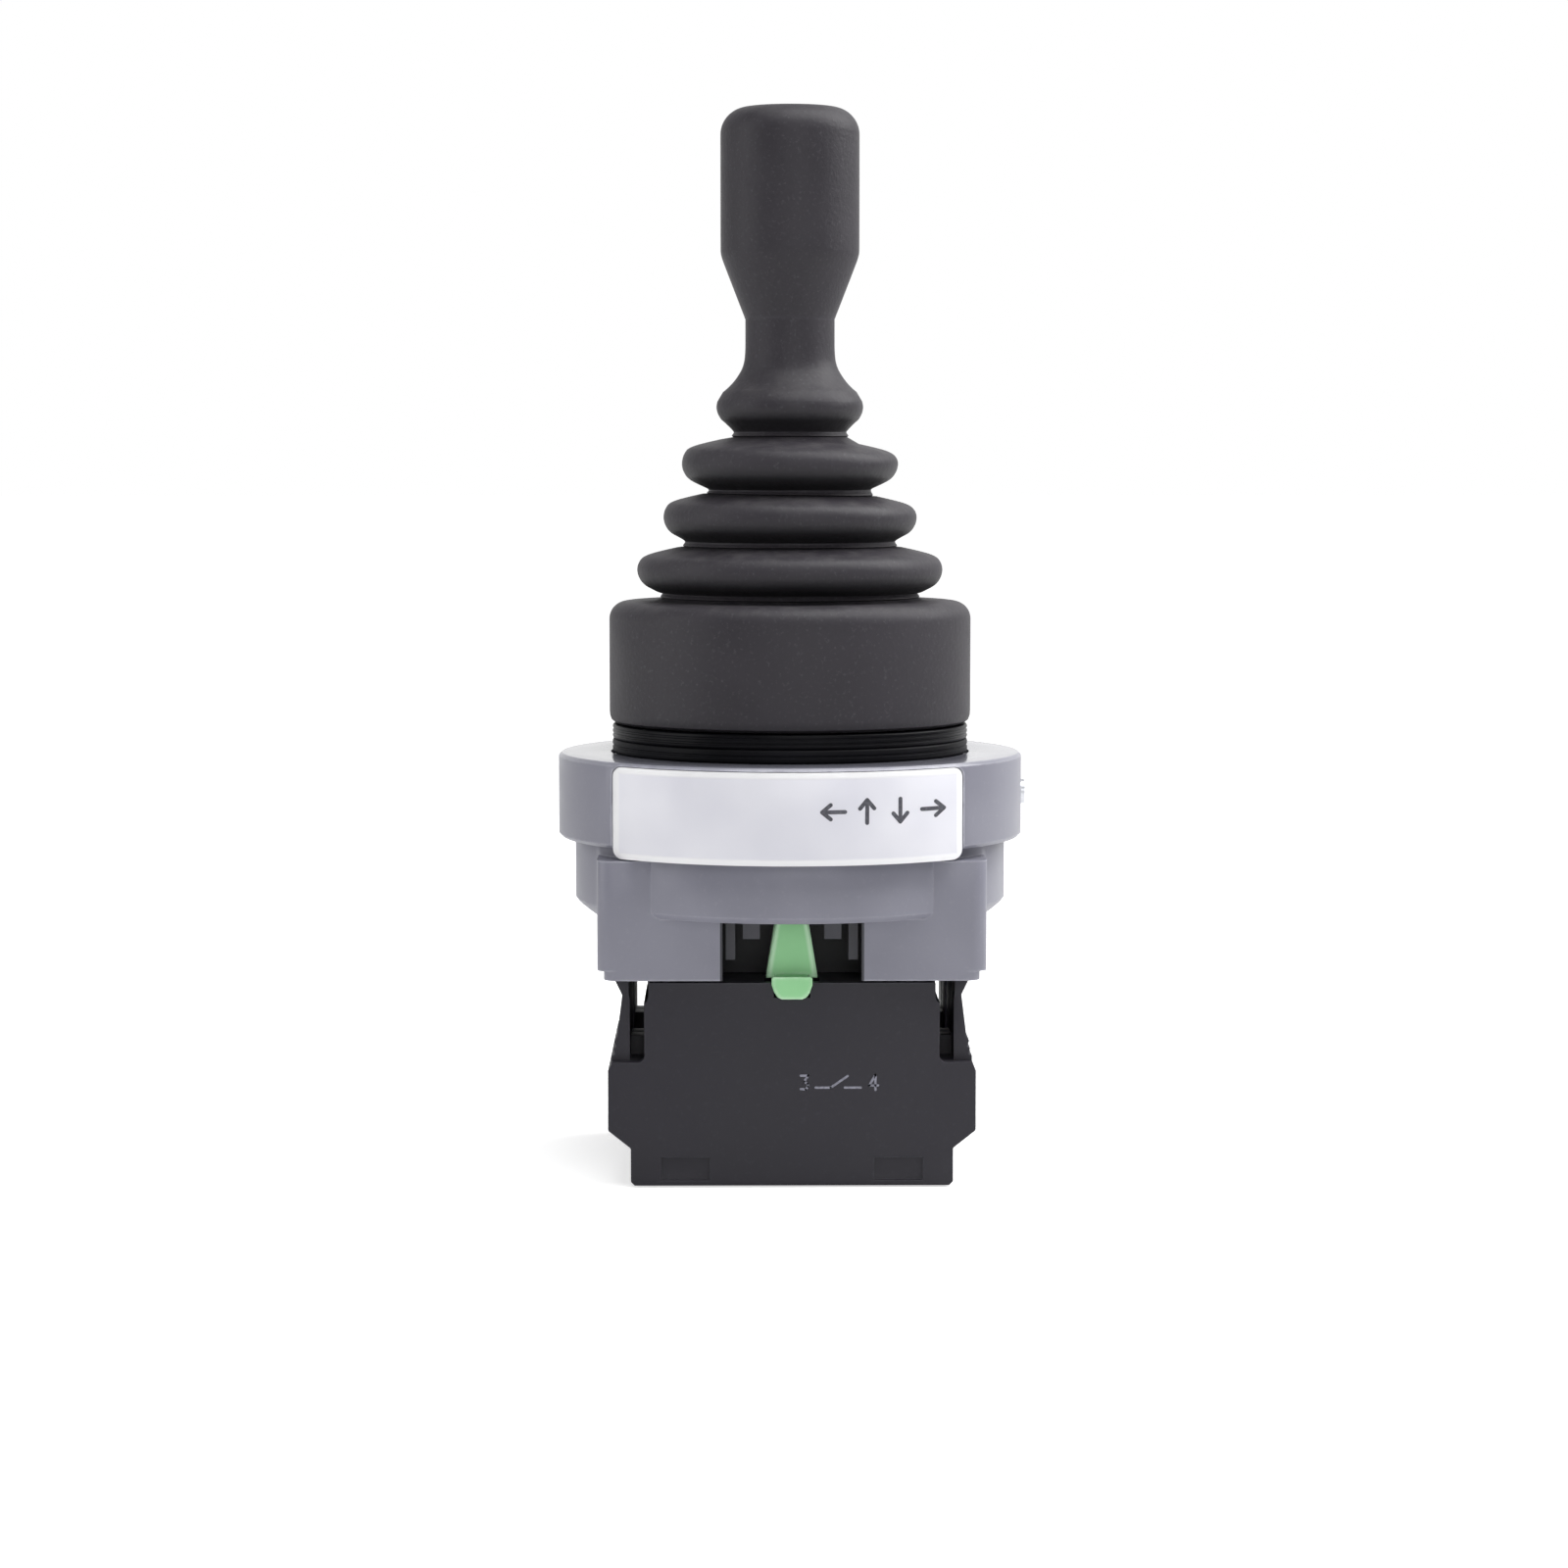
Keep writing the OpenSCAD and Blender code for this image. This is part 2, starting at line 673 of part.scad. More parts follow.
// The lower ring, whose curved underside shows at the sides only, and the box under it
module skirt_shell() {
    turn = [
        for (t = [0:0.2:1])
            [lower_r - turn_x * pow(t, turn_bulge), window_top_z + turn_up - (turn_up + turn_z) * t]
    ];
    difference() {
        rotate_extrude($fn = 160)
            polygon(concat([[0, upper_z], [lower_r, upper_z]], turn, [[0, window_top_z - turn_z]]));
        for (m = [0, 1]) mirror([0, m, 0])
            span(lower_r, skirt_y, lower_r + 1, window_top_z - turn_z - 1, window_top_z);
    }
    step_z = skirt_z + skirt_step_z;
    translate([0, 0, step_z]) linear_extrude(label_z - free - step_z)
        round_rect(skirt_x, skirt_y, skirt_round);
    translate([0, 0, skirt_z]) linear_extrude(skirt_step_z + e)
        round_rect(skirt_x - skirt_step_x, skirt_y, skirt_round);
}

module skirt() {
    color("#8c8c98") {
        difference() {
            skirt_shell();
            // Seat of the neck's flange
            translate([0, 0, cavity_top_z - e])
                cylinder(r = flange_r + free, h = upper_z - cavity_top_z + 1, $fn = 128);
            // Room for the blocks' hooks and the plungers, and the windows
            span(cavity_x, -cavity_y, cavity_y, skirt_z - 1, cavity_top_z);
            span(hook_pocket_x, -cavity_y, cavity_y, hook_z - free, hook_top_z + free);
            span(window_x, -pocket_y, pocket_y, skirt_z - 1, pocket_top_z);
            span(window_x, -lower_r - 1, lower_r + 1, skirt_z - 1, window_top_z);
            for (a = [45:90:315]) rotate([0, 0, a]) translate([skirt_screw_at, 0, cavity_top_z - 1])
                cylinder(r = m_screw_r + seat, h = upper_z - cavity_top_z + 2);
        }
        // Ribs and bars behind the windows, rooted in the ring
        for (s = [-1, 1], m = [0, 1]) mirror([0, m, 0]) {
            translate([s * rib_x - rib_w / 2, -pocket_y - e, window_top_z - rib_drop])
                cube([rib_w, rib_t, pocket_top_z - window_top_z + rib_drop]);
            translate([s * bar_x - bar_w / 2, bar_back - pocket_y, window_top_z - bar_drop])
                cube([bar_w, bar_t, pocket_top_z - window_top_z + bar_drop]);
            translate([s * rib_x - rib_w / 2, -rib_root, window_top_z + e])
                cube([rib_w, rib_root + rib_t - pocket_y - e, pocket_top_z - window_top_z - e]);
            translate([s * bar_x - bar_w / 2, -rib_root, window_top_z + e])
                cube([bar_w, rib_root + bar_back + bar_t - pocket_y, pocket_top_z - window_top_z - e]);
        }
    }
}

// The name plate's outline on the front, grown by a margin, between two radii
module label_shape(margin, r0, r1) {
    intersection() {
        tube(r1, r0, label_z - 1, label_z + label_h + 1);
        translate([0, 0, label_z + label_h / 2]) rotate([90, 0, label_turn]) linear_extrude(collar_r + 5)
            round_rect(label_w / 2 + margin, label_h / 2 + margin, label_corner);
    }
}

module label_plate() {
    color("#e8e8f0") label_shape(0, collar_r - label_t, collar_r);
}

module flange_screws() {
    color("silver") for (a = [45:90:315]) rotate([0, 0, a]) translate([screw_at, 0, 0]) {
        translate([0, 0, flange_z - m_head_h]) cylinder(r = m_head_r, h = m_head_h);
        translate([0, 0, flange_z - e]) cylinder(r = m_screw_r, h = flange_t + frame_screw_l);
    }
}

module skirt_screws() {
    color("silver") for (a = [45:90:315]) rotate([0, 0, a]) translate([skirt_screw_at, 0, 0]) {
        translate([0, 0, cavity_top_z - m_head_h]) cylinder(r = m_head_r, h = m_head_h);
        translate([0, 0, cavity_top_z - e])
            cylinder(r = m_screw_r, h = upper_z - cavity_top_z + frame_screw_l);
    }
}

// The right screw stands out a little, and the left one is sunk
module set_screws() {
    color("gainsboro") translate([0, 0, set_z]) {
        side_rod(set_r, neck_r + free, collar_r + set_out, 0);
        side_rod(set_r, neck_r + free, collar_r - set_in, 180);
    }
}

// Two thin plates across the skirt, between the outer and the inner plungers
module dust_shields() {
    color("#202024") for (m = [0, 1]) mirror([0, m, 0])
        span(cavity_x - seat, block_pitch - shield_t / 2, block_pitch + shield_t / 2,
            block_h + seat, cavity_top_z - seat);
}

// ---- contact blocks ----

// Places a block; each pair of blocks stands back to back
module at_block(n) {
    translate([0, block_y[n - 1], 0]) mirror([0, n % 2 == 0 ? 1 : 0, 0]) children();
}

module block_outline() {
    mid_x = (arm_in_x + body_x) / 2;
    half = concat(
        [
            [foot_x - foot_corner, 0], [foot_x, foot_corner], [foot_x, chamfer_z], [shoulder_x, wide_z],
            [shoulder_x, shoulder_z], [shoulder_x - teeth[0].x, shoulder_z + 2 * teeth[0].x]
        ],
        [for (t = teeth) [shoulder_x - t.x, arm_z + t.y]],
        [
            [arm_waist_x, slot_z + slot_r], [arm_out_x, block_h], [arm_out_x, hook_z], [hook_x, hook_z],
            [hook_x, hook_z + hook_h], [arm_out_x, hook_top_z], [arm_in_x, hook_top_z]
        ]
    );
    slot = [for (a = [0:-30:-180]) [mid_x + slot_r * cos(a), slot_z + slot_r + slot_r * sin(a)]];
    side = concat(half, slot, [[body_x, block_h]]);
    polygon(concat(side, [for (i = [len(side) - 1:-1:0]) [-side[i].x, side[i].y]]));
}

// A slab of the block's outline between two depths
module block_slab(y0, y1) {
    translate([0, y1, 0]) rotate([90, 0, 0]) linear_extrude(y1 - y0) block_outline();
}

// What both the case and the cover leave out
module block_cuts() {
    // The hooks are narrower than the block
    for (m = [0, 1]) mirror([0, m, 0]) span(hook_x + 1, hook_half_y, block_t, block_h, hook_top_z + 1);
}

// The cover stops short of the arms
module beside_arms() {
    h = hook_top_z - arm_z + 1;
    for (s = [-1, 1]) translate([s * (beside_arm_x + beside_arm_w / 2), front + cover_t + 1, arm_z + h / 2])
        rotate([90, 0, 0]) linear_extrude(cover_t + 2)
            round_rect(beside_arm_w / 2, h / 2, beside_arm_r);
}

module block_case(n) {
    depth0 = front + cover_t;
    depth1 = -front - case_wall;
    color("#39393e") at_block(n) difference() {
        block_slab(depth0, -front);
        block_cuts();
        // Grooves beside the arms, open right through above a step, and room for the plunger
        for (s = [-1, 1]) translate([s > 0 ? groove_in_x : -groove_out_x, front - 1, arm_z]) {
            cube([groove_out_x - groove_in_x, groove_depth + 1, slot_z + slot_r - arm_z]);
            translate([0, 0, groove_step])
                cube([groove_out_x - groove_in_x, block_t + 2, slot_z + slot_r - arm_z - groove_step]);
        }
        span(plunger_w / 2 + free, depth0 - 1, stem_y1 + free, notch_z, block_h + 1);
        difference() {
            union() {
                span(foot_x - foot_wall, depth0 - 1, depth1, case_floor, wide_z - 1);
                span(body_x - free, depth0 - 1, depth1, wide_z - 1 - e, shoulder_z);
                span(body_x - free - 1, depth0 - 1, depth1, shoulder_z - e, roof_z);
            }
            // Post in the spring
            translate([0, 0, case_floor - 1]) cylinder(r = post_r, h = post_h + 1);
        }
        // Ways to the screws, and wire entries
        for (s = [-1, 1]) {
            translate([s * screw_x, 0, -1]) cylinder(r = screw_head_r + free / 2, h = case_floor + 2);
            translate([s * (body_x - 1), 0, strip_top_z - strip_t - 1])
                rotate([0, s * 90, 0]) cylinder(r = wire_r, h = 10);
        }
    }
}

module block_cover(n) {
    color("#39393e") at_block(n) difference() {
        block_slab(front, front + cover_t);
        beside_arms();
        // Notch for the web between the plunger and its tongue
        span(stem_x + free, front - 1, front + cover_t + 1, notch_z, block_h + 1);
        // Dents at the foot
        for (s = [-1, 1]) translate([s * dent_x - dent_w / 2, front - 1, dent_z])
            cube([dent_w, dent_d + 1, dent_h]);
    }
}

module plunger(n) {
    top = plunger_top_w / 2;
    foot = plunger_w / 2;
    tongue = [
        [tongue_x, plunger_z + web_h], [tongue_x, plunger_z - tongue_corner],
        [tongue_side_x, plunger_z - tongue_h + tongue_corner], [tongue_tip_x, plunger_z - tongue_h],
        [-tongue_tip_x, plunger_z - tongue_h], [-tongue_side_x, plunger_z - tongue_h + tongue_corner],
        [-tongue_x, plunger_z - tongue_corner], [-tongue_x, plunger_z + web_h]
    ];
    color("#80b882") at_block(n) {
        translate([0, stem_y1, 0]) rotate([90, 0, 0]) linear_extrude(stem_y1 - plunger_face) polygon([
            [-foot, plunger_z], [foot, plunger_z], [top, foot_z - plunger_top_h], [top, foot_z],
            [-top, foot_z], [-top, foot_z - plunger_top_h]
        ]);
        // An outer plunger's tongue slides over the cover, and a web joins the two
        if (n == 1 || n == 4) {
            translate([0, front - run, 0]) rotate([90, 0, 0]) linear_extrude(tongue_out) polygon(tongue);
            span(stem_x, front - run - e, plunger_face + e, plunger_z, plunger_z + web_h);
        }
        span(stem_x, plunger_face, stem_y1, bridge_z + bridge_t, plunger_z + e);
    }
}

module contact_bridge(n) {
    color("peru") at_block(n) {
        span(bridge_x, -bridge_w / 2, bridge_w / 2, bridge_z, bridge_z + bridge_t);
        for (s = [-1, 1]) translate([s * tip_x, 0, bridge_z - tip_t]) cylinder(r = tip_r, h = tip_t + e);
    }
}

module plunger_spring(n) {
    color("lightgray") at_block(n) translate([0, 0, case_floor + e])
        coil(coil_r, bridge_z - case_floor - 2 * e, 7, coil_wire, 12, 6);
}

module terminals(n) {
    z0 = strip_top_z - strip_t;
    x0 = tip_x - strip_over;
    color("goldenrod") at_block(n) for (s = [-1, 1]) difference() {
        union() {
            translate([s > 0 ? x0 : -strip_x1, strip_y0, z0])
                cube([strip_x1 - x0, strip_y1 - strip_y0, strip_t]);
            translate([s * tip_x, 0, strip_top_z - e]) cylinder(r = tip_r, h = tip_t + e);
        }
        translate([s * screw_x, 0, z0 - 1]) cylinder(r = screw_r + seat, h = strip_t + 2);
    }
}

module terminal_screws(n) {
    color("silver") at_block(n) for (s = [-1, 1]) translate([s * screw_x, 0, 0]) {
        difference() {
            translate([0, 0, clamp_z - head_h]) cylinder(r = screw_head_r, h = head_h + e);
            translate([0, 0, clamp_z - head_h])
                cube([3 * screw_head_r, screw_slot, 2 * screw_slot], center = true);
        }
        translate([0, 0, clamp_z]) cylinder(r = screw_r, h = screw_top_z - clamp_z);
        translate([-clamp_half, -clamp_half, clamp_z]) cube([2 * clamp_half, 2 * clamp_half, clamp_t]);
    }
}

grip();
lever_shaft();
lever_hub();
swash_plate();
lever_nut();
boot();
locking_ring();
panel_gasket();
neck_body();
gate_plate();
gate_screws();
gimbal_ring();
gimbal_outer_pins();
pin_spacers();
gimbal_inner_pins();
return_spring();
rod_guide();
push_rod_front();
push_rod_left();
push_rod_right();
push_rod_back();
collar();
skirt();
flange_screws();
skirt_screws();
set_screws();
label_plate();
dust_shields();
block_case(1);  // block_case_1
block_case(2);  // block_case_2
block_case(3);  // block_case_3
block_case(4);  // block_case_4
block_cover(1);  // block_cover_1
block_cover(2);  // block_cover_2
block_cover(3);  // block_cover_3
block_cover(4);  // block_cover_4
plunger(1);  // plunger_1
plunger(2);  // plunger_2
plunger(3);  // plunger_3
plunger(4);  // plunger_4
contact_bridge(1);  // contact_bridge_1
contact_bridge(2);  // contact_bridge_2
contact_bridge(3);  // contact_bridge_3
contact_bridge(4);  // contact_bridge_4
plunger_spring(1);  // plunger_spring_1
plunger_spring(2);  // plunger_spring_2
plunger_spring(3);  // plunger_spring_3
plunger_spring(4);  // plunger_spring_4
terminals(1);  // terminals_1
terminals(2);  // terminals_2
terminals(3);  // terminals_3
terminals(4);  // terminals_4
terminal_screws(1);  // terminal_screws_1
terminal_screws(2);  // terminal_screws_2
terminal_screws(3);  // terminal_screws_3
terminal_screws(4);  // terminal_screws_4
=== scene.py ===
import math

import bmesh
import bpy
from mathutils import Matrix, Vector


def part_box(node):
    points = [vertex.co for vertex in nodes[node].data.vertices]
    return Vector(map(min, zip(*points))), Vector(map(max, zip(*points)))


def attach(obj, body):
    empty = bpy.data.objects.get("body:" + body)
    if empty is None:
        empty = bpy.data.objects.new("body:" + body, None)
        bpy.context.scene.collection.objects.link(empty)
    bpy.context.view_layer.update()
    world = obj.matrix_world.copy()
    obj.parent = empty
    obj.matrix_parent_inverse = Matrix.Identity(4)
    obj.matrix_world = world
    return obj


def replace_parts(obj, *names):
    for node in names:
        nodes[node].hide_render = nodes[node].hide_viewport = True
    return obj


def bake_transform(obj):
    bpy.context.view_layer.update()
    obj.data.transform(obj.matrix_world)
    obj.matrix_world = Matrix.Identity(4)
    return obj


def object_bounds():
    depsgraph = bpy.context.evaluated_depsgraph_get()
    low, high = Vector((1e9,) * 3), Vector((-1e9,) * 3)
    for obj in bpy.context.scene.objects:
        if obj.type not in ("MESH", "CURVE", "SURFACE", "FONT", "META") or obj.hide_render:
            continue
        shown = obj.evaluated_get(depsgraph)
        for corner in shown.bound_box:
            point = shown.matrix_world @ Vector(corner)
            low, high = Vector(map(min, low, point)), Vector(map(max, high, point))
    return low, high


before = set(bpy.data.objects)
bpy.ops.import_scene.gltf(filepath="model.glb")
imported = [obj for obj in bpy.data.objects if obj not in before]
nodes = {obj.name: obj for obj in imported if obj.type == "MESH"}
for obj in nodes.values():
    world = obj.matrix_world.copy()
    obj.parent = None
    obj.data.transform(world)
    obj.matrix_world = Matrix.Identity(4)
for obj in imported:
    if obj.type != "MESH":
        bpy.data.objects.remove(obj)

cadLow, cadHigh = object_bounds()
mm = 0.001
scene = bpy.context.scene
print("frame loaded,", len(nodes), "nodes")


def paint(red, green, blue):
    # screen colour, 0 to 255, as the linear colour that a shader takes
    linear = []
    for level in (red, green, blue):
        c = level / 255
        linear.append(c / 12.92 if c <= 0.04045 else ((c + 0.055) / 1.055) ** 2.4)
    return (*linear, 1)


def place(tree, kind, **settings):
    node = tree.nodes.new(kind)
    for key, value in settings.items():
        setattr(node, key, value)
    return node


def feed(tree, socket, source):
    # a socket takes another node's output, or a plain value
    if isinstance(source, bpy.types.NodeSocket):
        tree.links.new(source, socket)
    elif source is not None:
        socket.default_value = source


def reckon(tree, operation, a, b=None, c=None, clamp=False):
    node = place(tree, "ShaderNodeMath", operation=operation, use_clamp=clamp)
    for socket, source in zip(node.inputs, (a, b, c)):
        feed(tree, socket, source)
    return node.outputs[0]


def spread(tree, value, low, high, toLow=0.0, toHigh=1.0):
    node = place(tree, "ShaderNodeMapRange")
    for socket, source in zip(node.inputs, (value, low, high, toLow, toHigh)):
        feed(tree, socket, source)
    return node.outputs[0]


def blendColours(tree, factor, first, second):
    node = place(tree, "ShaderNodeMix", data_type="RGBA")
    feed(tree, node.inputs[0], factor)
    feed(tree, node.inputs[6], first)
    feed(tree, node.inputs[7], second)
    return node.outputs[2]


def objectPlace(tree):
    return place(tree, "ShaderNodeTexCoord").outputs["Object"]


def axes(tree, vector):
    # the x, y and z of a vector
    node = place(tree, "ShaderNodeSeparateXYZ")
    feed(tree, node.inputs[0], vector)
    return node.outputs


def facingUp(tree):
    # 1 on a surface that faces up, and -1 on one that faces down
    return axes(tree, place(tree, "ShaderNodeNewGeometry").outputs["Normal"])[2]


def cloudy(tree, vector, scale, detail=2.0, roughness=0.5):
    node = place(tree, "ShaderNodeTexNoise")
    for key, value in (("Vector", vector), ("Scale", scale), ("Detail", detail), ("Roughness", roughness)):
        feed(tree, node.inputs[key], value)
    return node.outputs["Fac"]


def newGroup(name, inputs, outputs):
    group = bpy.data.node_groups.new(name, "ShaderNodeTree")
    for label, value in inputs.items():
        socket = group.interface.new_socket(label, in_out="INPUT", socket_type="NodeSocketFloat")
        socket.default_value = value
    for label in outputs:
        group.interface.new_socket(label, in_out="OUTPUT", socket_type="NodeSocketFloat")
    return group, group.nodes.new("NodeGroupInput").outputs, group.nodes.new("NodeGroupOutput").inputs


def useGroup(tree, group, **values):
    node = place(tree, "ShaderNodeGroup", node_tree=group)
    for key, value in values.items():
        feed(tree, node.inputs[key], value)
    return node.outputs


def makeMouldGrain():
    # fine moulded skin: Height for the bump, Specks where its tips catch light, Drift for slow changes
    group, given, out = newGroup("mouldGrain", {"Scale": 2200.0, "Slow": 90.0}, ("Height", "Specks", "Drift"))
    where = objectPlace(group)
    fine = cloudy(group, where, given["Scale"], detail=3.0, roughness=0.62)
    cells = place(group, "ShaderNodeTexVoronoi", feature="F1")
    feed(group, cells.inputs["Vector"], where)
    feed(group, cells.inputs["Scale"], reckon(group, "MULTIPLY", given["Scale"], 0.55))
    pits = spread(group, cells.outputs["Distance"], low=0.05, high=0.75)
    pitShare = 0.35
    fineHeight = reckon(group, "MULTIPLY", fine, 1 - pitShare)
    feed(group, out["Height"], reckon(group, "MULTIPLY_ADD", pits, pitShare, fineHeight))
    feed(group, out["Specks"], spread(group, fine, low=0.58, high=0.72))
    slow = cloudy(group, where, given["Slow"], detail=2.0, roughness=0.55)
    feed(group, out["Drift"], spread(group, slow, low=0.36, high=0.64))
    return group


def makeWearAndHighlightEdge():
    # Edge is 1 on an outer edge and fades over Width, broken up along it
    group, given, out = newGroup("wearAndHighlightEdge", {"Width": 0.0003, "Breaks": 700.0}, ("Edge",))
    rounded = place(group, "ShaderNodeBevel", samples=6)
    feed(group, rounded.inputs["Radius"], given["Width"])
    flat = place(group, "ShaderNodeNewGeometry")
    turn = place(group, "ShaderNodeVectorMath", operation="DOT_PRODUCT")
    feed(group, turn.inputs[0], rounded.outputs[0])
    feed(group, turn.inputs[1], flat.outputs["Normal"])
    sharp = spread(group, reckon(group, "SUBTRACT", 1.0, turn.outputs["Value"]), low=0.004, high=0.1)
    clouds = cloudy(group, objectPlace(group), given["Breaks"], detail=3.0, roughness=0.6)
    broken = spread(group, clouds, low=0.35, high=0.6, toLow=0.35)
    feed(group, out["Edge"], reckon(group, "MULTIPLY", sharp, broken, clamp=True))
    return group


def makeBrushed():
    # lines drawn out along X, Y or Z, for brushed and drawn metal
    inputs = {"Scale": 900.0, "AlongX": 0.03, "AlongY": 1.0, "AlongZ": 1.0}
    group, given, out = newGroup("brushedLines", inputs, ("Lines", "Clouds"))
    where = objectPlace(group)
    parts = axes(group, where)
    joined = place(group, "ShaderNodeCombineXYZ")
    for axis, key in enumerate(("AlongX", "AlongY", "AlongZ")):
        feed(group, joined.inputs[axis], reckon(group, "MULTIPLY", parts[axis], given[key]))
    feed(group, out["Lines"], cloudy(group, joined.outputs[0], given["Scale"], roughness=0.6))
    feed(group, out["Clouds"], spread(group, cloudy(group, where, scale=70.0), low=0.35, high=0.65))
    return group


def makeSettledDust():
    # Dust gathers on what faces up
    group, given, out = newGroup("settledDust", {"Amount": 0.3}, ("Dust",))
    up = spread(group, facingUp(group), low=0.35, high=0.95)
    clouds = cloudy(group, objectPlace(group), scale=420.0, detail=4.0, roughness=0.65)
    patches = spread(group, clouds, low=0.42, high=0.7)
    gathered = reckon(group, "MULTIPLY", up, patches)
    feed(group, out["Dust"], reckon(group, "MULTIPLY", gathered, given["Amount"]))
    return group


mouldGrain = makeMouldGrain()
wearAndHighlightEdge = makeWearAndHighlightEdge()
brushedLines = makeBrushed()
settledDust = makeSettledDust()
dustColour = paint(170, 168, 165)


def startMaterial(name):
    material = bpy.data.materials.new(name)
    material.use_nodes = True
    tree = material.node_tree
    return material, tree, tree.nodes["Principled BSDF"]


def bumped(tree, height, strength, distance):
    bump = place(tree, "ShaderNodeBump")
    bump.inputs["Strength"].default_value = strength
    bump.inputs["Distance"].default_value = distance
    feed(tree, bump.inputs["Height"], height)
    return bump.outputs[0]


def repaint(material, mask, colour):
    # lays a colour over a finish where the mask is 1
    tree = material.node_tree
    base = tree.nodes["Principled BSDF"].inputs["Base Color"]
    feed(tree, base, blendColours(tree, mask, base.links[0].from_socket, colour))


def mouldedFinish(name, look):
    # plastic and rubber: skin grain, slow colour drift, paler edges that are part wear and part painted
    # highlight, and a little dust
    material, tree, shader = startMaterial(name)
    grain = useGroup(tree, mouldGrain, Scale=look["grainScale"])
    edge = useGroup(tree, wearAndHighlightEdge, Width=look["edgeWidth"])["Edge"]
    dust = useGroup(tree, settledDust, Amount=look["dust"])["Dust"]
    base = blendColours(tree, grain["Drift"], look["shade"], look["colour"])
    specks = reckon(tree, "MULTIPLY", grain["Specks"], look["specks"])
    base = blendColours(tree, specks, base, look["speckColour"])
    # paler edges: part wear, part a painted highlight where rounded edges catch light
    base = blendColours(tree, reckon(tree, "MULTIPLY", edge, look["edgeAmount"]), base, look["edgeColour"])
    base = blendColours(tree, dust, base, dustColour)
    feed(tree, shader.inputs["Base Color"], base)
    smoothest, roughest = look["rough"] - look["roughSpread"], look["rough"] + look["roughSpread"]
    rough = spread(tree, grain["Drift"], 0.0, 1.0, smoothest, roughest)
    dustRoughens = 0.5
    rough = reckon(tree, "MULTIPLY_ADD", dust, dustRoughens, rough, clamp=True)
    feed(tree, shader.inputs["Roughness"], rough)
    feed(tree, shader.inputs["Normal"], bumped(tree, grain["Height"], look["bump"], look["bumpDepth"]))
    shader.inputs["Specular IOR Level"].default_value = look.get("specular", 0.5)
    shader.inputs["Coat Weight"].default_value = look.get("coat", 0.0)
    shader.inputs["Coat Roughness"].default_value = look.get("coatRough", 0.1)
    return material


metalWear = {
    "edgeWidth": 0.0002, "tarnish": 0.35, "edgeAmount": 0.5, "smoother": 0.07, "rougher": 0.09,
    "bump": 0.25, "bumpDepth": 0.00003,
}


def metalFinish(name, look):
    # drawn, turned or cast metal: stretched lines in its roughness and bump, tarnish and bright edges
    material, tree, shader = startMaterial(name)
    along = look.get("along", (1.0, 1.0, 1.0))
    brush = useGroup(tree, brushedLines, Scale=look["lineScale"],
                     AlongX=along[0], AlongY=along[1], AlongZ=along[2])
    edge = useGroup(tree, wearAndHighlightEdge, Width=metalWear["edgeWidth"])["Edge"]
    tarnish = reckon(tree, "MULTIPLY", brush["Lines"], metalWear["tarnish"])
    bright = reckon(tree, "MULTIPLY", edge, metalWear["edgeAmount"])
    base = blendColours(tree, brush["Clouds"], look["shade"], look["colour"])
    base = blendColours(tree, tarnish, base, look["shade"])
    base = blendColours(tree, bright, base, look["edgeColour"])
    feed(tree, shader.inputs["Base Color"], base)
    smoothest, roughest = look["rough"] - metalWear["smoother"], look["rough"] + metalWear["rougher"]
    rough = spread(tree, brush["Lines"], 0.3, 0.7, smoothest, roughest)
    feed(tree, shader.inputs["Roughness"], rough)
    lineBump = bumped(tree, brush["Lines"], metalWear["bump"], metalWear["bumpDepth"])
    feed(tree, shader.inputs["Normal"], lineBump)
    shader.inputs["Metallic"].default_value = 1.0
    return material


def addPiece(name, mesh, material):
    piece = bpy.data.objects.new(name, mesh)
    scene.collection.objects.link(piece)
    mesh.materials.append(material)
    return piece


def shadeByAngle(mesh, degrees=32):
    mesh.polygons.foreach_set("use_smooth", [True] * len(mesh.polygons))
    mesh.set_sharp_from_angle(angle=math.radians(degrees))


def arc(centreR, centreZ, radius, fromDegrees, toDegrees, steps):
    points = []
    for k in range(steps + 1):
        a = math.radians(fromDegrees + (toDegrees - fromDegrees) * k / steps)
        points.append((centreR + radius * math.cos(a), centreZ + radius * math.sin(a)))
    return points


def roundedLine(points):
    # cuts the corners of an open line, so that it runs smoothly
    cut = [points[0]]
    for (r0, z0), (r1, z1) in zip(points, points[1:]):
        cut.append((0.75 * r0 + 0.25 * r1, 0.75 * z0 + 0.25 * z1))
        cut.append((0.25 * r0 + 0.75 * r1, 0.25 * z0 + 0.75 * z1))
    return cut + [points[-1]]


def throughPoints(points, steps=3):
    # a smooth line that passes through every point
    line = []
    for k in range(len(points) - 1):
        p = [points[max(k - 1, 0)], points[k], points[k + 1], points[min(k + 2, len(points) - 1)]]
        for j in range(steps):
            t = j / steps
            weights = (-t + 2 * t ** 2 - t ** 3, 2 - 5 * t ** 2 + 3 * t ** 3,
                       t + 4 * t ** 2 - 3 * t ** 3, t ** 3 - t ** 2)
            line.append(tuple(sum(w * q[axis] for w, q in zip(weights, p)) / 2 for axis in (0, 1)))
    return line + [points[-1]]


def closeMesh(build, mesh):
    bmesh.ops.recalc_face_normals(build, faces=build.faces)
    build.to_mesh(mesh)
    build.free()
    return mesh


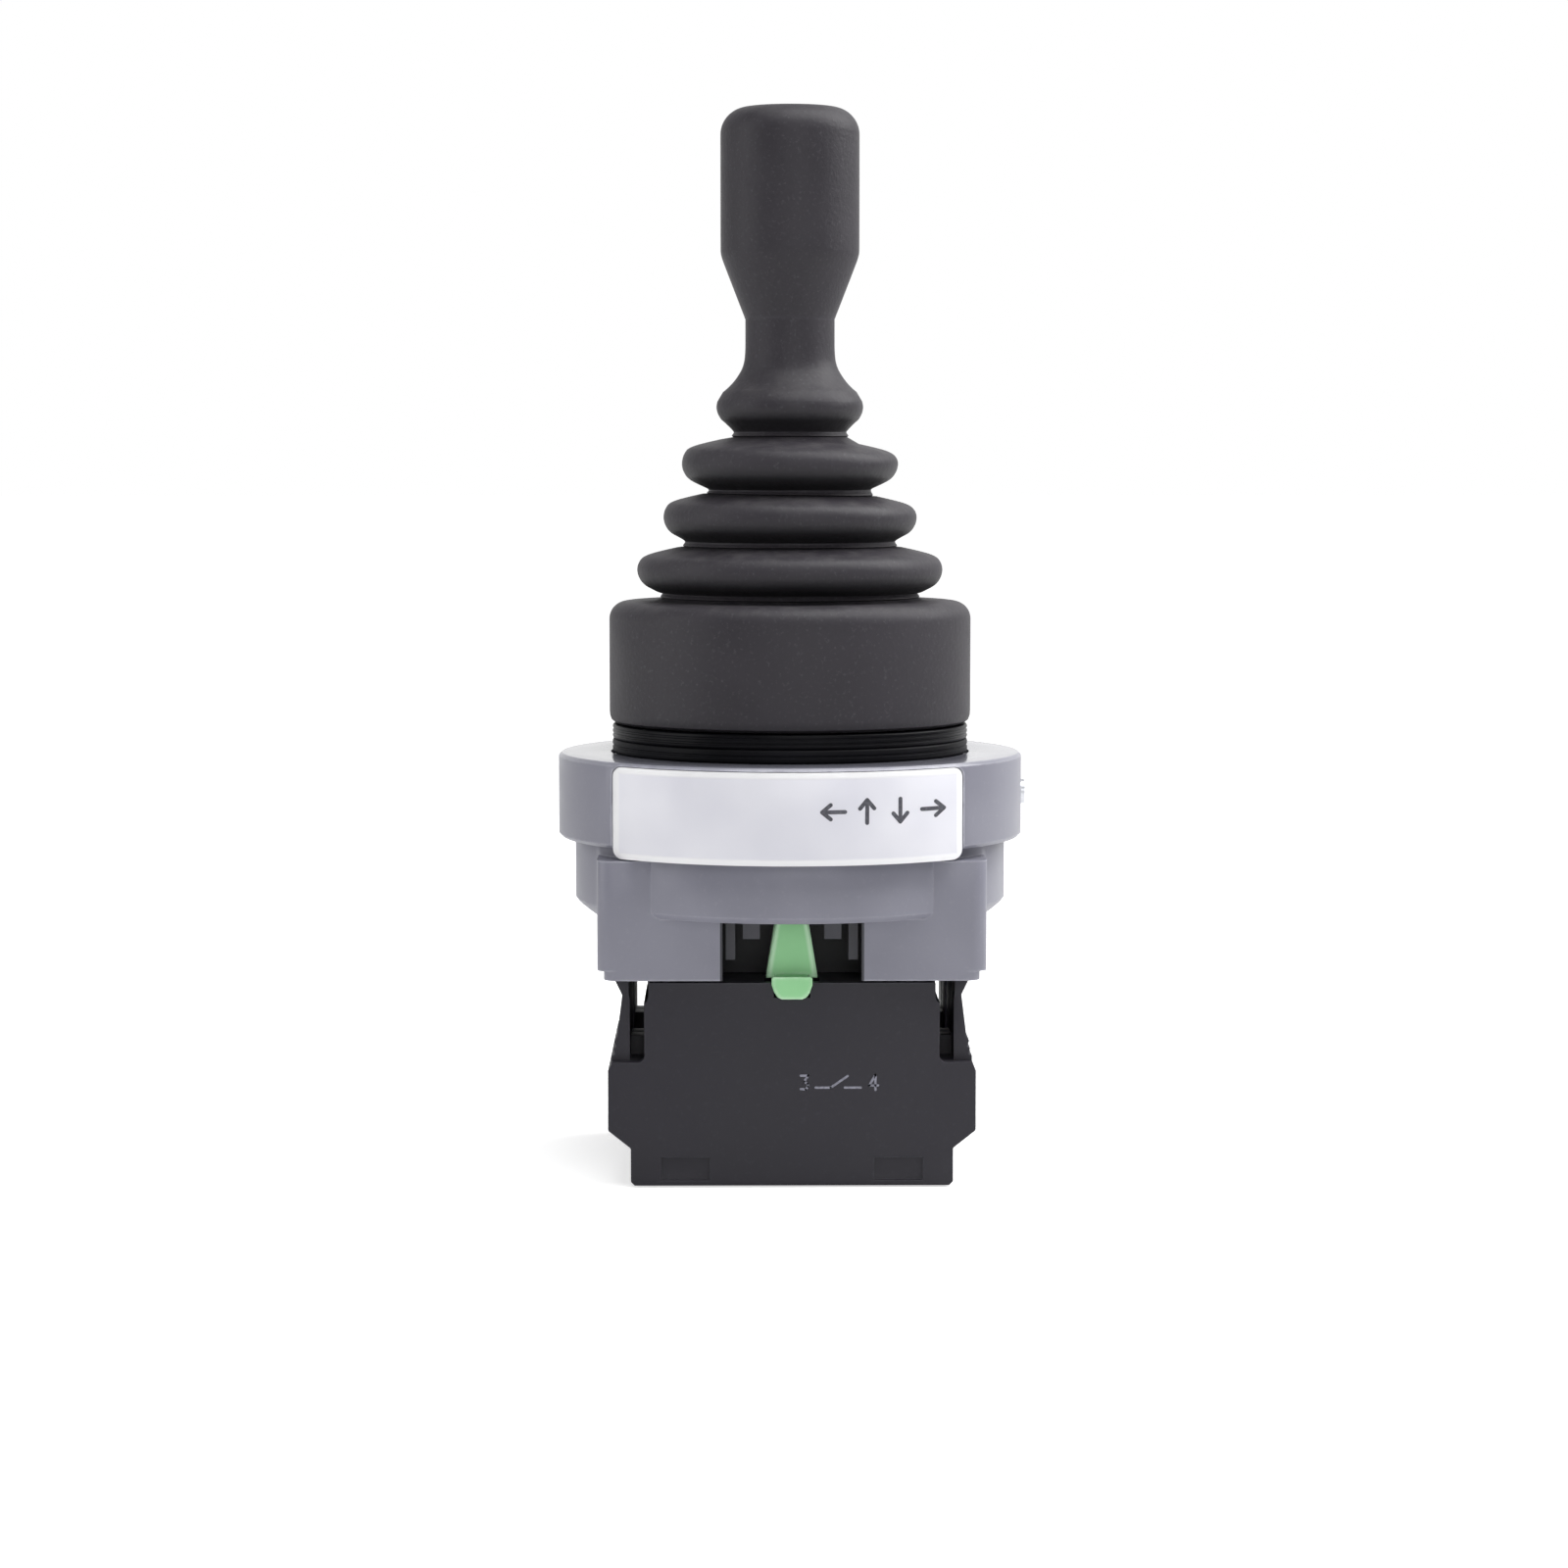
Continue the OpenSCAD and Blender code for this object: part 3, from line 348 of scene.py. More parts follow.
def turned(name, profile, sections, closed=True, ripple=None):
    # a body of revolution about Z from (radius, height) points in mm; a radius of 0 closes it with a pole,
    # and ripple moves a point outwards and upwards by what it gives
    mesh = bpy.data.meshes.new(name)
    build = bmesh.new()
    rings = []
    for r, z in profile:
        if r == 0:
            rings.append([build.verts.new((0, 0, z * mm))])
            continue
        ring = []
        for k in range(sections):
            a = 2 * math.pi * k / sections
            out, up = ripple(a, r, z) if ripple else (0.0, 0.0)
            x, y = (r + out) * math.cos(a) * mm, (r + out) * math.sin(a) * mm
            ring.append(build.verts.new((x, y, (z + up) * mm)))
        rings.append(ring)
    count = len(rings) if closed else len(rings) - 1
    for i in range(count):
        upper, lower = rings[i], rings[(i + 1) % len(rings)]
        for k in range(sections):
            n = (k + 1) % sections
            if len(upper) == 1 and len(lower) == 1:
                break
            if len(upper) == 1:
                build.faces.new((upper[0], lower[k], lower[n]))
            elif len(lower) == 1:
                build.faces.new((upper[k], lower[0], upper[n]))
            else:
                build.faces.new((upper[k], lower[k], lower[n], upper[n]))
    shadeByAngle(closeMesh(build, mesh))
    return mesh


smoothUpTo = 30  # degrees
weldWithin = 0.002  # mm


def makeSoftShade():
    # shades a CAD mesh smooth up to an angle, in place of the normals it came with
    group = bpy.data.node_groups.new("softShade", "GeometryNodeTree")
    group.interface.new_socket("Geometry", in_out="INPUT", socket_type="NodeSocketGeometry")
    group.interface.new_socket("Geometry", in_out="OUTPUT", socket_type="NodeSocketGeometry")
    start, end = group.nodes.new("NodeGroupInput"), group.nodes.new("NodeGroupOutput")
    drop = group.nodes.new("GeometryNodeRemoveAttribute")
    drop.inputs["Name"].default_value = "custom_normal"
    faces = group.nodes.new("GeometryNodeSetShadeSmooth")
    faces.domain = "FACE"
    angle = group.nodes.new("GeometryNodeInputMeshEdgeAngle")
    small = group.nodes.new("FunctionNodeCompare")
    small.operation = "LESS_THAN"
    small.inputs[1].default_value = math.radians(smoothUpTo)
    edges = group.nodes.new("GeometryNodeSetShadeSmooth")
    edges.domain = "EDGE"
    for a, b in ((start.outputs[0], drop.inputs["Geometry"]), (drop.outputs[0], faces.inputs["Geometry"]),
                 (angle.outputs["Unsigned Angle"], small.inputs[0]),
                 (faces.outputs[0], edges.inputs["Geometry"]),
                 (small.outputs[0], edges.inputs["Shade Smooth"]), (edges.outputs[0], end.inputs[0])):
        group.links.new(a, b)
    return group


softShade = makeSoftShade()


def dress(names, material, edge, angle=32, segments=2):
    # gives CAD nodes a finish and fine rounded edges, edge in mm
    for name in names:
        piece = nodes[name]
        if not piece.data.materials:
            piece.data.materials.append(material)
        for slot in piece.material_slots:
            slot.material = material
        weld = piece.modifiers.new("weld", "WELD")
        weld.merge_threshold = weldWithin * mm
        bevel = piece.modifiers.new("edges", "BEVEL")
        bevel.width = edge * mm
        bevel.segments = segments
        bevel.limit_method = "ANGLE"
        bevel.angle_limit = math.radians(angle)
        bevel.use_clamp_overlap = True
        piece.modifiers.new("shade", "NODES").node_group = softShade


def numbered(node):
    # the same piece of each of the four contact blocks
    return ["%s_%d" % (node, n) for n in range(1, 5)]


handleLook = {
    "colour": paint(49, 46, 52), "shade": paint(43, 40, 46), "speckColour": paint(88, 86, 92),
    "edgeColour": paint(84, 82, 89), "specks": 0.3, "edgeAmount": 0.25, "edgeWidth": 0.0006,
    "grainScale": 3000.0, "rough": 0.54, "roughSpread": 0.05, "bump": 0.5, "bumpDepth": 0.00008,
    "specular": 0.38, "dust": 0.06,
}
handleShape = {  # lengths in mm
    "radius": 7.5, "foot": 4.9, "taper": 6.7, "round": 2.9, "crown": 0.1, "sections": 160,
    "seam": 0.03, "seamFrom": 4, "seamSpread": 0.0009, "bore": 3.05, "boreDepth": 15, "overBoot": 0.005,
}
handleSkin = mouldedFinish("handleSkin", handleLook)


def makeHandle():
    low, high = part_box("grip")
    h = handleShape
    bottom, top = low.z / mm, high.z / mm
    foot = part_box("boot")[1].z / mm + h["overBoot"]  # just clear of the boot's top edge
    shoulder = bottom + h["taper"]
    crownR = h["radius"] - h["round"]
    outside = [(0, top), (crownR * 0.5, top - 0.02), (crownR * 0.9, top - h["crown"] * 0.7)]
    outside += arc(crownR, top - h["round"] - h["crown"], h["round"], 84, 0, 14)
    wall = [(h["radius"], shoulder + 8), (h["radius"], shoulder + 0.7), (h["radius"] - 0.02, shoulder + 0.25)]
    wall += [(h["radius"] - 0.12, shoulder - 0.2), (h["radius"] - 0.36, shoulder - 0.9)]
    wall += [(h["foot"] + 0.2, bottom + 0.55), (h["foot"] + 0.02, bottom + 0.1), (h["foot"] - 0.03, foot)]
    boreTop = bottom + h["boreDepth"]
    bore = [(h["bore"], foot), (h["bore"], boreTop), (0, boreTop)]
    profile = outside + roundedLine(wall) + bore

    def mouldSeam(a, r, z):
        # left and right, where the mould's halves met
        if r <= h["seamFrom"]:
            return 0.0, 0.0
        return h["seam"] * math.exp(-((math.cos(a) ** 2 - 1) / h["seamSpread"]) ** 2), 0.0
    mesh = turned("handle", profile, h["sections"], closed=False, ripple=mouldSeam)
    piece = addPiece("handle", mesh, handleSkin)
    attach(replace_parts(piece, "grip"), "lever")


makeHandle()
print("handle done")


# under is the painted shade colour for the folds' down-facing undersides
bootLook = dict(handleLook, grainScale=2600.0, dust=0.08, under=paint(26, 25, 28))
bootShape = {  # radii and heights in mm, the heights under the boot's top edge
    "neck": ((4.85, 0), (4.85, 2.4), (4.87, 3.5), (4.96, 4.5), (5.14, 5.2), (5.44, 5.85), (6.05, 6.75),
             (6.75, 7.5), (7.42, 8.05)),
    "bore": ((3.35, 0), (3.35, 5.6), (4.9, 8.0)),
    "noses": ((7.97, 9.5), (11.8, 15.65), (13.8, 21.45), (16.62, 27.15)),
    "over": ((-4.3, 2.38), (-2.75, 2.03), (-1.45, 1.68), (-0.72, 1.36), (-0.36, 1.03), (-0.1, 0.55), (0, 0)),
    "under": ((-0.06, -0.5), (-0.2, -0.9), (-0.5, -1.4), (-0.98, -1.83), (-1.7, -2.22), (-2.3, -2.5)),
    "grooves": ((6.17, 12.35), (8.88, 18.65), (11.46, 24.25), (13.95, 29.8)),
    "cup": 19.72, "cupTop": 30.5, "cupRound": 1.9, "cupBore": 18.2, "wall": 1.15, "sections": 180,
    "bendEnd": 5.6, "bendStart": 30.6,
    "uneven": 0.03, "unevenFrom": 4.5, "unevenTo": 30,
    "sag": (0, 0.26, 0.15, 0), "foldDeep": 5.2, "foldTall": 2.9,
}


def bootFinish():
    # the folds' down-facing undersides are painted darker, as painted shade
    material = mouldedFinish("bootSkin", bootLook)
    down = spread(material.node_tree, facingUp(material.node_tree), low=-0.1, high=-0.75)
    repaint(material, down, bootLook["under"])
    return material


def bootProfiles():
    b = bootShape
    low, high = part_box("boot")
    bottom, top = low.z / mm, high.z / mm
    w = b["wall"]
    outer = throughPoints([(r, top - down) for r, down in b["neck"]])[:-1]
    inner = [(r, top - down) for r, down in b["bore"]]
    for i, ((noseR, noseDown), (grooveR, grooveDown)) in enumerate(zip(b["noses"], b["grooves"])):
        noseZ, grooveZ = top - noseDown, top - grooveDown
        above = b["over"] if i else b["over"][-2:]
        fold = [(noseR + dr, noseZ + dz) for dr, dz in above]
        fold += [(noseR + dr, noseZ + dz) for dr, dz in b["under"] if noseR + dr > grooveR + 0.25]
        fold += [(grooveR + 0.05, grooveZ + 0.22), (grooveR, grooveZ), (grooveR + 0.14, grooveZ - 0.2)]
        fold += [(grooveR + 0.2, grooveZ - 0.32)]
        outer += throughPoints(fold)
        outer.append((grooveR + 0.06, grooveZ - 0.44))  # crease over the next fold
        if i:
            inner += [(noseR - w - 0.6, noseZ + 0.7), (noseR - w - 0.6, noseZ - 0.7)]
        else:
            inner.append((noseR - w - 0.7, noseZ))
        inner += [(grooveR - w, grooveZ + 0.3), (grooveR - w, grooveZ - 0.4)]
    cupTop, cup, bend = top - b["cupTop"], b["cup"], b["cupRound"]
    outer += [(14.7, cupTop), (16.4, cupTop - 0.04)] + arc(cup - bend, cupTop - 0.1 - bend, bend, 86, 0, 12)
    outer += [(cup, 56), (cup, bottom + 1.3), (cup - 0.04, bottom + 0.8), (cup - 0.2, bottom + 0.35)]
    outer += [(cup - 0.6, bottom + 0.06), (cup - 0.9, bottom)]
    inner += [(b["cupBore"], cupTop - 1.3), (b["cupBore"], bottom)]
    return outer, inner, top


def splitAt(points, z):
    # the points above a level, and those below it, both with the point on it
    for k in range(len(points) - 1):
        (r0, z0), (r1, z1) = points[k], points[k + 1]
        if z0 >= z > z1:
            t = (z0 - z) / (z0 - z1)
            on = (r0 + (r1 - r0) * t, z)
            return points[:k + 1] + [on], [on] + points[k + 1:]
    raise ValueError("the boot has no such level")


def makeBoot():
    # the boot in an upper and a lower half, split at the second fold's groove
    b = bootShape
    bootSkin = bootFinish()
    outer, inner, top = bootProfiles()
    seamZ = top - b["grooves"][1][1]
    outerTop, outerLow = splitAt(outer, seamZ)
    innerTop, innerLow = splitAt(inner, seamZ)

    def uneven(a, r, z):
        # rubber is never quite round, and the tops of the upper folds sag a little to the right
        if not top - b["unevenTo"] < z < top - b["unevenFrom"]:
            return 0.0, 0.0
        wave = b["uneven"] * (math.sin(2 * a + z * 0.31) + 0.6 * math.sin(3 * a - z * 0.7))
        wave *= min(1.0, (top - b["unevenFrom"] - z) / 3, (z - top + b["unevenTo"]) / 1.5)
        drop = 0.0
        for (noseR, noseDown), sag in zip(b["noses"], b["sag"]):
            over = z - (top - noseDown)
            if noseR - b["foldDeep"] < r and 0 < over < b["foldTall"]:
                drop = sag * math.cos(a) * min(1.0, over / 1.3) * min(1.0, (b["foldTall"] - over) / 0.5)
        return wave, -drop
    for name, outside, inside in (("bootUpper", outerTop, innerTop), ("bootLower", outerLow, innerLow)):
        piece = addPiece(name, turned(name, outside + inside[::-1], b["sections"], ripple=uneven), bootSkin)
        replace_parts(piece, "boot")
        if name == "bootUpper":
            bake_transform(piece)
        else:
            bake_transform(piece)


makeBoot()
print("boot done")


ringLook = {
    "colour": paint(13, 13, 16), "shade": paint(10, 10, 13), "speckColour": paint(30, 30, 36),
    "edgeColour": paint(40, 40, 46), "specks": 0.06, "edgeAmount": 0.3, "edgeWidth": 0.00025,
    "grainScale": 3000.0, "rough": 0.34, "roughSpread": 0.05, "bump": 0.1, "bumpDepth": 0.00004,
    "specular": 0.1, "dust": 0.0,
}
gasketLook = dict(ringLook, colour=paint(20, 20, 24), rough=0.48, bump=0.3)
rimShape = {"hole": 15.05, "sleeve": 17.5, "sleeveFoot": 17.9, "flange": 1.6, "sections": 180}  # in mm
ringSkin = mouldedFinish("ringSkin", ringLook)
gasketSkin = mouldedFinish("gasketSkin", gasketLook)


def ribbedRim(r, z0, z1, lines, depth):
    # a rim from its top to its foot, with fine turned lines and round edges
    bend, mouth, root = 0.3, 0.16, 0.07
    profile = arc(r - bend, z1 - bend, bend, 90, 10, 5)
    for k in range(lines):
        z = z1 - (z1 - z0) * (k + 1) / (lines + 1)
        profile += [(r, z + mouth), (r - depth, z + root), (r - depth, z - root), (r, z - mouth)]
    return profile + arc(r - bend, z0 + bend, bend, -10, -90, 5)


def makeRims():
    s = rimShape
    low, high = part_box("locking_ring")
    z0, z1, r = low.z / mm, high.z / mm, high.x / mm
    flangeTop = z0 + s["flange"]
    sleeve = [(s["hole"], z1), (s["sleeve"], z1), (s["sleeveFoot"], z1 - 0.4)]
    sleeve += [(s["sleeveFoot"], z0 + 1.9), (r - 1.0, flangeTop)]
    profile = sleeve + ribbedRim(r, z0, flangeTop, lines=2, depth=0.1) + [(s["hole"], z0)]
    ring = addPiece("lockingRing", turned("lockingRing", profile, s["sections"]), ringSkin)
    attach(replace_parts(ring, "locking_ring"), "housing")
    low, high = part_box("panel_gasket")
    z0, z1, r = low.z / mm, high.z / mm, high.x / mm
    rim = ribbedRim(r, z0 + 0.5, z1, lines=1, depth=0.12)
    profile = [(s["hole"], z1)] + rim + [(r - 0.5, z0), (s["hole"], z0)]
    gasket = addPiece("panelGasket", turned("panelGasket", profile, s["sections"]), gasketSkin)
    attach(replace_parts(gasket, "panel_gasket"), "housing")


makeRims()
print("rims done")


# edgeColour and edgeAmount paint a highlight along the edges, as well as wear
collarLook = {
    "colour": paint(139, 139, 151), "shade": paint(132, 132, 144), "speckColour": paint(151, 151, 162),
    "edgeColour": paint(184, 184, 196), "specks": 0.25, "edgeAmount": 0.85, "edgeWidth": 0.0004,
    "grainScale": 1700.0, "rough": 0.42, "roughSpread": 0.06, "bump": 0.14, "bumpDepth": 0.00005,
    "specular": 0.3, "dust": 0.02, "coat": 0.2, "coatTop": 1.0, "coatRough": 0.12,
}
paintedRecessShade = {"halfWidth": 7.6, "behind": 20.0, "colour": paint(60, 60, 67)}  # painted shade on the ribs behind the windows; sizes in mm


def collarFinish(name):
    # grey plastic that is rubbed shiny on its upper faces
    material = mouldedFinish(name, collarLook)
    tree = material.node_tree
    shine = spread(tree, facingUp(tree), 0.5, 0.95, collarLook["coat"], collarLook["coatTop"])
    feed(tree, tree.nodes["Principled BSDF"].inputs["Coat Weight"], shine)
    return material


def skirtFinish():
    # the collar's finish, with painted shade on the ribs that stand back behind the windows
    material = collarFinish("skirtSkin")
    tree = material.node_tree
    parts = axes(tree, objectPlace(tree))
    across = reckon(tree, "LESS_THAN", reckon(tree, "ABSOLUTE", parts[0]), paintedRecessShade["halfWidth"] * mm)
    back = reckon(tree, "LESS_THAN", reckon(tree, "ABSOLUTE", parts[1]), paintedRecessShade["behind"] * mm)
    repaint(material, reckon(tree, "MULTIPLY", across, back), paintedRecessShade["colour"])
    return material


dress(("collar",), collarFinish("collarSkin"), edge=0.18, angle=40, segments=3)
dress(("skirt",), skirtFinish(), edge=0.09, angle=30)

plateLook = {
    "silver": paint(243, 243, 249), "shade": paint(228, 228, 237), "rim": paint(250, 250, 252),
    "rimWidth": 0.5, "rimFade": 0.25, "print": paint(70, 70, 78), "printFade": paint(96, 96, 104),
    "printUp": 5.6, "printFrom": 4.2, "printStep": 3.5, "printSize": 1.2, "stroke": 0.42, "proud": 0.015,
    "lines": 0.1, "lineScale": 1500.0, "smoothest": 0.3, "roughest": 0.38, "lineBump": 0.05,
    "bump": 0.4, "bumpDepth": 0.00008, "coat": 0.25,
}


def plateFinish():
    # satin film with a paler rim that follows the plate's outline
    material, tree, shader = startMaterial("plateFilm")
    p = plateLook
    low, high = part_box("label_plate")
    parts = axes(tree, objectPlace(tree))
    gaps = []
    for axis in (0, 2):
        middle, half = (low[axis] + high[axis]) / 2, (high[axis] - low[axis]) / 2
        off = reckon(tree, "ABSOLUTE", reckon(tree, "SUBTRACT", parts[axis], middle))
        gaps.append(reckon(tree, "SUBTRACT", half, off))
    inside = reckon(tree, "MINIMUM", *gaps)
    rim = spread(tree, inside, p["rimWidth"] * mm, (p["rimWidth"] + p["rimFade"]) * mm, 1.0, 0.0)
    brush = useGroup(tree, brushedLines, Scale=p["lineScale"], AlongX=0.04, AlongY=0.04, AlongZ=1.0)
    base = blendColours(tree, brush["Clouds"], p["shade"], p["silver"])
    base = blendColours(tree, reckon(tree, "MULTIPLY", brush["Lines"], p["lines"]), base, p["shade"])
    base = blendColours(tree, rim, base, p["rim"])
    feed(tree, shader.inputs["Base Color"], base)
    rough = spread(tree, brush["Clouds"], 0.0, 1.0, p["smoothest"], p["roughest"])
    feed(tree, shader.inputs["Roughness"], rough)
    lineHeight = reckon(tree, "MULTIPLY", brush["Lines"], p["lineBump"])
    height = reckon(tree, "ADD", rim, lineHeight)
    feed(tree, shader.inputs["Normal"], bumped(tree, height, p["bump"], p["bumpDepth"]))
    shader.inputs["Coat Weight"].default_value = p["coat"]
    return material


dress(("label_plate",), plateFinish(), edge=0.1, angle=40)


def printFinish(name, colour, fade):
    # printed ink with a slightly broken cover
    material, tree, shader = startMaterial(name)
    clouds = cloudy(tree, objectPlace(tree), scale=2600.0, detail=3.0, roughness=0.6)
    cover = spread(tree, clouds, low=0.3, high=0.55)
    feed(tree, shader.inputs["Base Color"], blendColours(tree, cover, fade, colour))
    feed(tree, shader.inputs["Roughness"], spread(tree, cover, 0.0, 1.0, toLow=0.62, toHigh=0.48))
    return material


strokeStep, capSteps = 0.5, 6  # mm between a stroke's points, and steps round its end


def strokeMesh(name, lines, width, onto):
    # flat strokes with round ends along lines of (x, z) points in mm; onto places a point on the part
    mesh = bpy.data.meshes.new(name)
    build = bmesh.new()
    for (x0, z0), (x1, z1) in lines:
        length = math.hypot(x1 - x0, z1 - z0)
        ux, uz = (x1 - x0) / length, (z1 - z0) / length
        cuts = max(2, round(length / strokeStep))
        outline = []
        for k in range(cuts + 1):
            t = k / cuts
            cx, cz = x0 + (x1 - x0) * t, z0 + (z1 - z0) * t
            sx, sz = uz * width / 2, ux * width / 2
            outline.append(((cx - sx, cz + sz), (cx + sx, cz - sz)))
        rows = [(build.verts.new(onto(*a)), build.verts.new(onto(*b))) for a, b in outline]
        for (a, b), (c, d) in zip(rows, rows[1:]):
            build.faces.new((a, b, d, c))
        for end, sign in ((0, -1), (-1, 1)):
            a, b = rows[end]
            cx, cz = (x0, z0) if end == 0 else (x1, z1)
            fan = [a if sign > 0 else b]
            for k in range(1, capSteps):
                q = math.pi / 2 - math.pi * k / capSteps
                dx = sign * (ux * math.cos(q) - uz * math.sin(q)) * width / 2
                dz = sign * (uz * math.cos(q) + ux * math.sin(q)) * width / 2
                fan.append(build.verts.new(onto(cx + dx, cz + dz)))
            fan.append(b if sign > 0 else a)
            build.faces.new(fan)
    return closeMesh(build, mesh)


def arrowLines(x, z, angle, size):
    # a direction arrow as three strokes
    def at(u, v):
        return x + u * math.cos(angle) - v * math.sin(angle), z + u * math.sin(angle) + v * math.cos(angle)
    tip = at(size, 0)
    back, out = size * 0.25, size * 0.62
    return [(at(-size, 0), at(size * 0.9, 0)), (at(back, out), tip), (at(back, -out), tip)]


def makePlatePrint():
    # the lever's four directions
    p = plateLook
    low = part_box("label_plate")[0]
    radius = -low.y / mm + p["proud"]
    z = low.z / mm + p["printUp"]

    def onPlate(x, height):
        return x * mm, -math.sqrt(radius ** 2 - x ** 2) * mm, height * mm
    lines = []
    for k, angle in enumerate((180, 90, 270, 0)):
        x = p["printFrom"] + p["printStep"] * k
        lines += arrowLines(x, z, math.radians(angle), p["printSize"])
    ink = printFinish("plateInk", p["print"], p["printFade"])
    piece = addPiece("plateArrows", strokeMesh("plateArrows", lines, p["stroke"], onPlate), ink)
    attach(piece, "housing")


makePlatePrint()
print("collar done")


# edgeColour and edgeAmount paint a highlight along the edges, as well as wear
blockLook = {
    "colour": paint(39, 37, 45), "shade": paint(35, 33, 41), "speckColour": paint(54, 53, 62),
    "edgeColour": paint(84, 84, 91), "specks": 0.25, "edgeAmount": 0.4, "edgeWidth": 0.00022,
    "grainScale": 2100.0, "rough": 0.5, "roughSpread": 0.05, "bump": 0.2, "bumpDepth": 0.00005,
    "specular": 0.4, "dust": 0.08,
}
# edgeColour and edgeAmount paint a highlight along the edges, as well as wear
plungerLook = {
    "colour": paint(162, 230, 166), "shade": paint(154, 222, 158), "speckColour": paint(176, 236, 178),
    "edgeColour": paint(208, 246, 208), "specks": 0.12, "edgeAmount": 1.0, "edgeWidth": 0.0007,
    "grainScale": 1500.0, "rough": 0.4, "roughSpread": 0.04, "bump": 0.1, "bumpDepth": 0.00004,
    "specular": 0.45, "dust": 0.03,
}
plungerPaintedHighlight = {  # a painted highlight along the plunger's slanting sides: height and half width in mm
    "foot": (22.0, 2.75), "top": (28.4, 1.7), "width": 0.42, "fade": 0.25, "colour": paint(198, 244, 200),
}
blockPrint = {
    "ink": paint(146, 146, 160), "fade": paint(112, 112, 124), "stroke": 0.24, "row": 10.5, "digit": 1.6,
    "digitDrop": 0.25, "digitsAt": {"3": 0.9, "4": 8.2}, "proud": 0.012,
    "sign": (((2.5, 0), (4.1, 0)), ((4.1, 0), (5.9, 1.25)), ((5.6, 0), (7.3, 0))),
}
dress(numbered("block_cover") + numbered("block_case"), mouldedFinish("blockSkin", blockLook), edge=0.1)


def plungerFinish():
    # the green plastic, with a painted highlight along the slanting sides, which run between the foot's and
    # top's half widths
    material = mouldedFinish("plungerSkin", plungerLook)
    tree = material.node_tree
    parts = axes(tree, objectPlace(tree))
    (footZ, footX), (topZ, topX) = plungerPaintedHighlight["foot"], plungerPaintedHighlight["top"]
    half = spread(tree, parts[2], footZ * mm, topZ * mm, footX * mm, topX * mm)
    inset = reckon(tree, "SUBTRACT", half, reckon(tree, "ABSOLUTE", parts[0]))
    highlightEnd = plungerPaintedHighlight["width"] + plungerPaintedHighlight["fade"]
    rim = spread(tree, inset, plungerPaintedHighlight["width"] * mm, highlightEnd * mm, toLow=1.0, toHigh=0.0)
    overFoot = reckon(tree, "GREATER_THAN", parts[2], footZ * mm)
    repaint(material, reckon(tree, "MULTIPLY", rim, overFoot), plungerPaintedHighlight["colour"])
    return material


dress(numbered("plunger"), plungerFinish(), edge=0.25, angle=24, segments=1)

digitStrokes = {  # in units of the digit's height, from its lower left corner
    "3": [((0.02, 0.96), (0.5, 0.96)), ((0.5, 0.96), (0.24, 0.56)), ((0.24, 0.56), (0.47, 0.42)),
          ((0.47, 0.42), (0.5, 0.22)), ((0.5, 0.22), (0.34, 0.04)), ((0.34, 0.04), (0.02, 0.06))],
    "4": [((0.4, 0.0), (0.4, 1.0)), ((0.4, 1.0), (0.0, 0.3)), ((0.0, 0.3), (0.58, 0.3))],
}


def makeBlockPrint():
    # the sign of a contact that closes, between its two terminal numbers, on the outer faces
    p = blockPrint
    ink = printFinish("blockInk", p["ink"], p["fade"])
    signs = (("frontContactSign", "block_cover_1", -1), ("backContactSign", "block_cover_4", 1))
    for name, cover, side in signs:
        low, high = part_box(cover)
        y = (low.y if side < 0 else high.y) + side * p["proud"] * mm

        def onFace(x, z):
            return -side * x * mm, y, z * mm
        z, d = p["row"], p["digit"]
        lines = [((x0, z + z0), (x1, z + z1)) for (x0, z0), (x1, z1) in p["sign"]]
        digitFoot = z - p["digitDrop"]
        for digit, x in p["digitsAt"].items():
            for (x0, z0), (x1, z1) in digitStrokes[digit]:
                lines.append(((x + x0 * d, digitFoot + z0 * d), (x + x1 * d, digitFoot + z1 * d)))
        piece = addPiece(name, strokeMesh(name, lines, p["stroke"], onFace), ink)
        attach(piece, "housing")


makeBlockPrint()
print("contact blocks done")


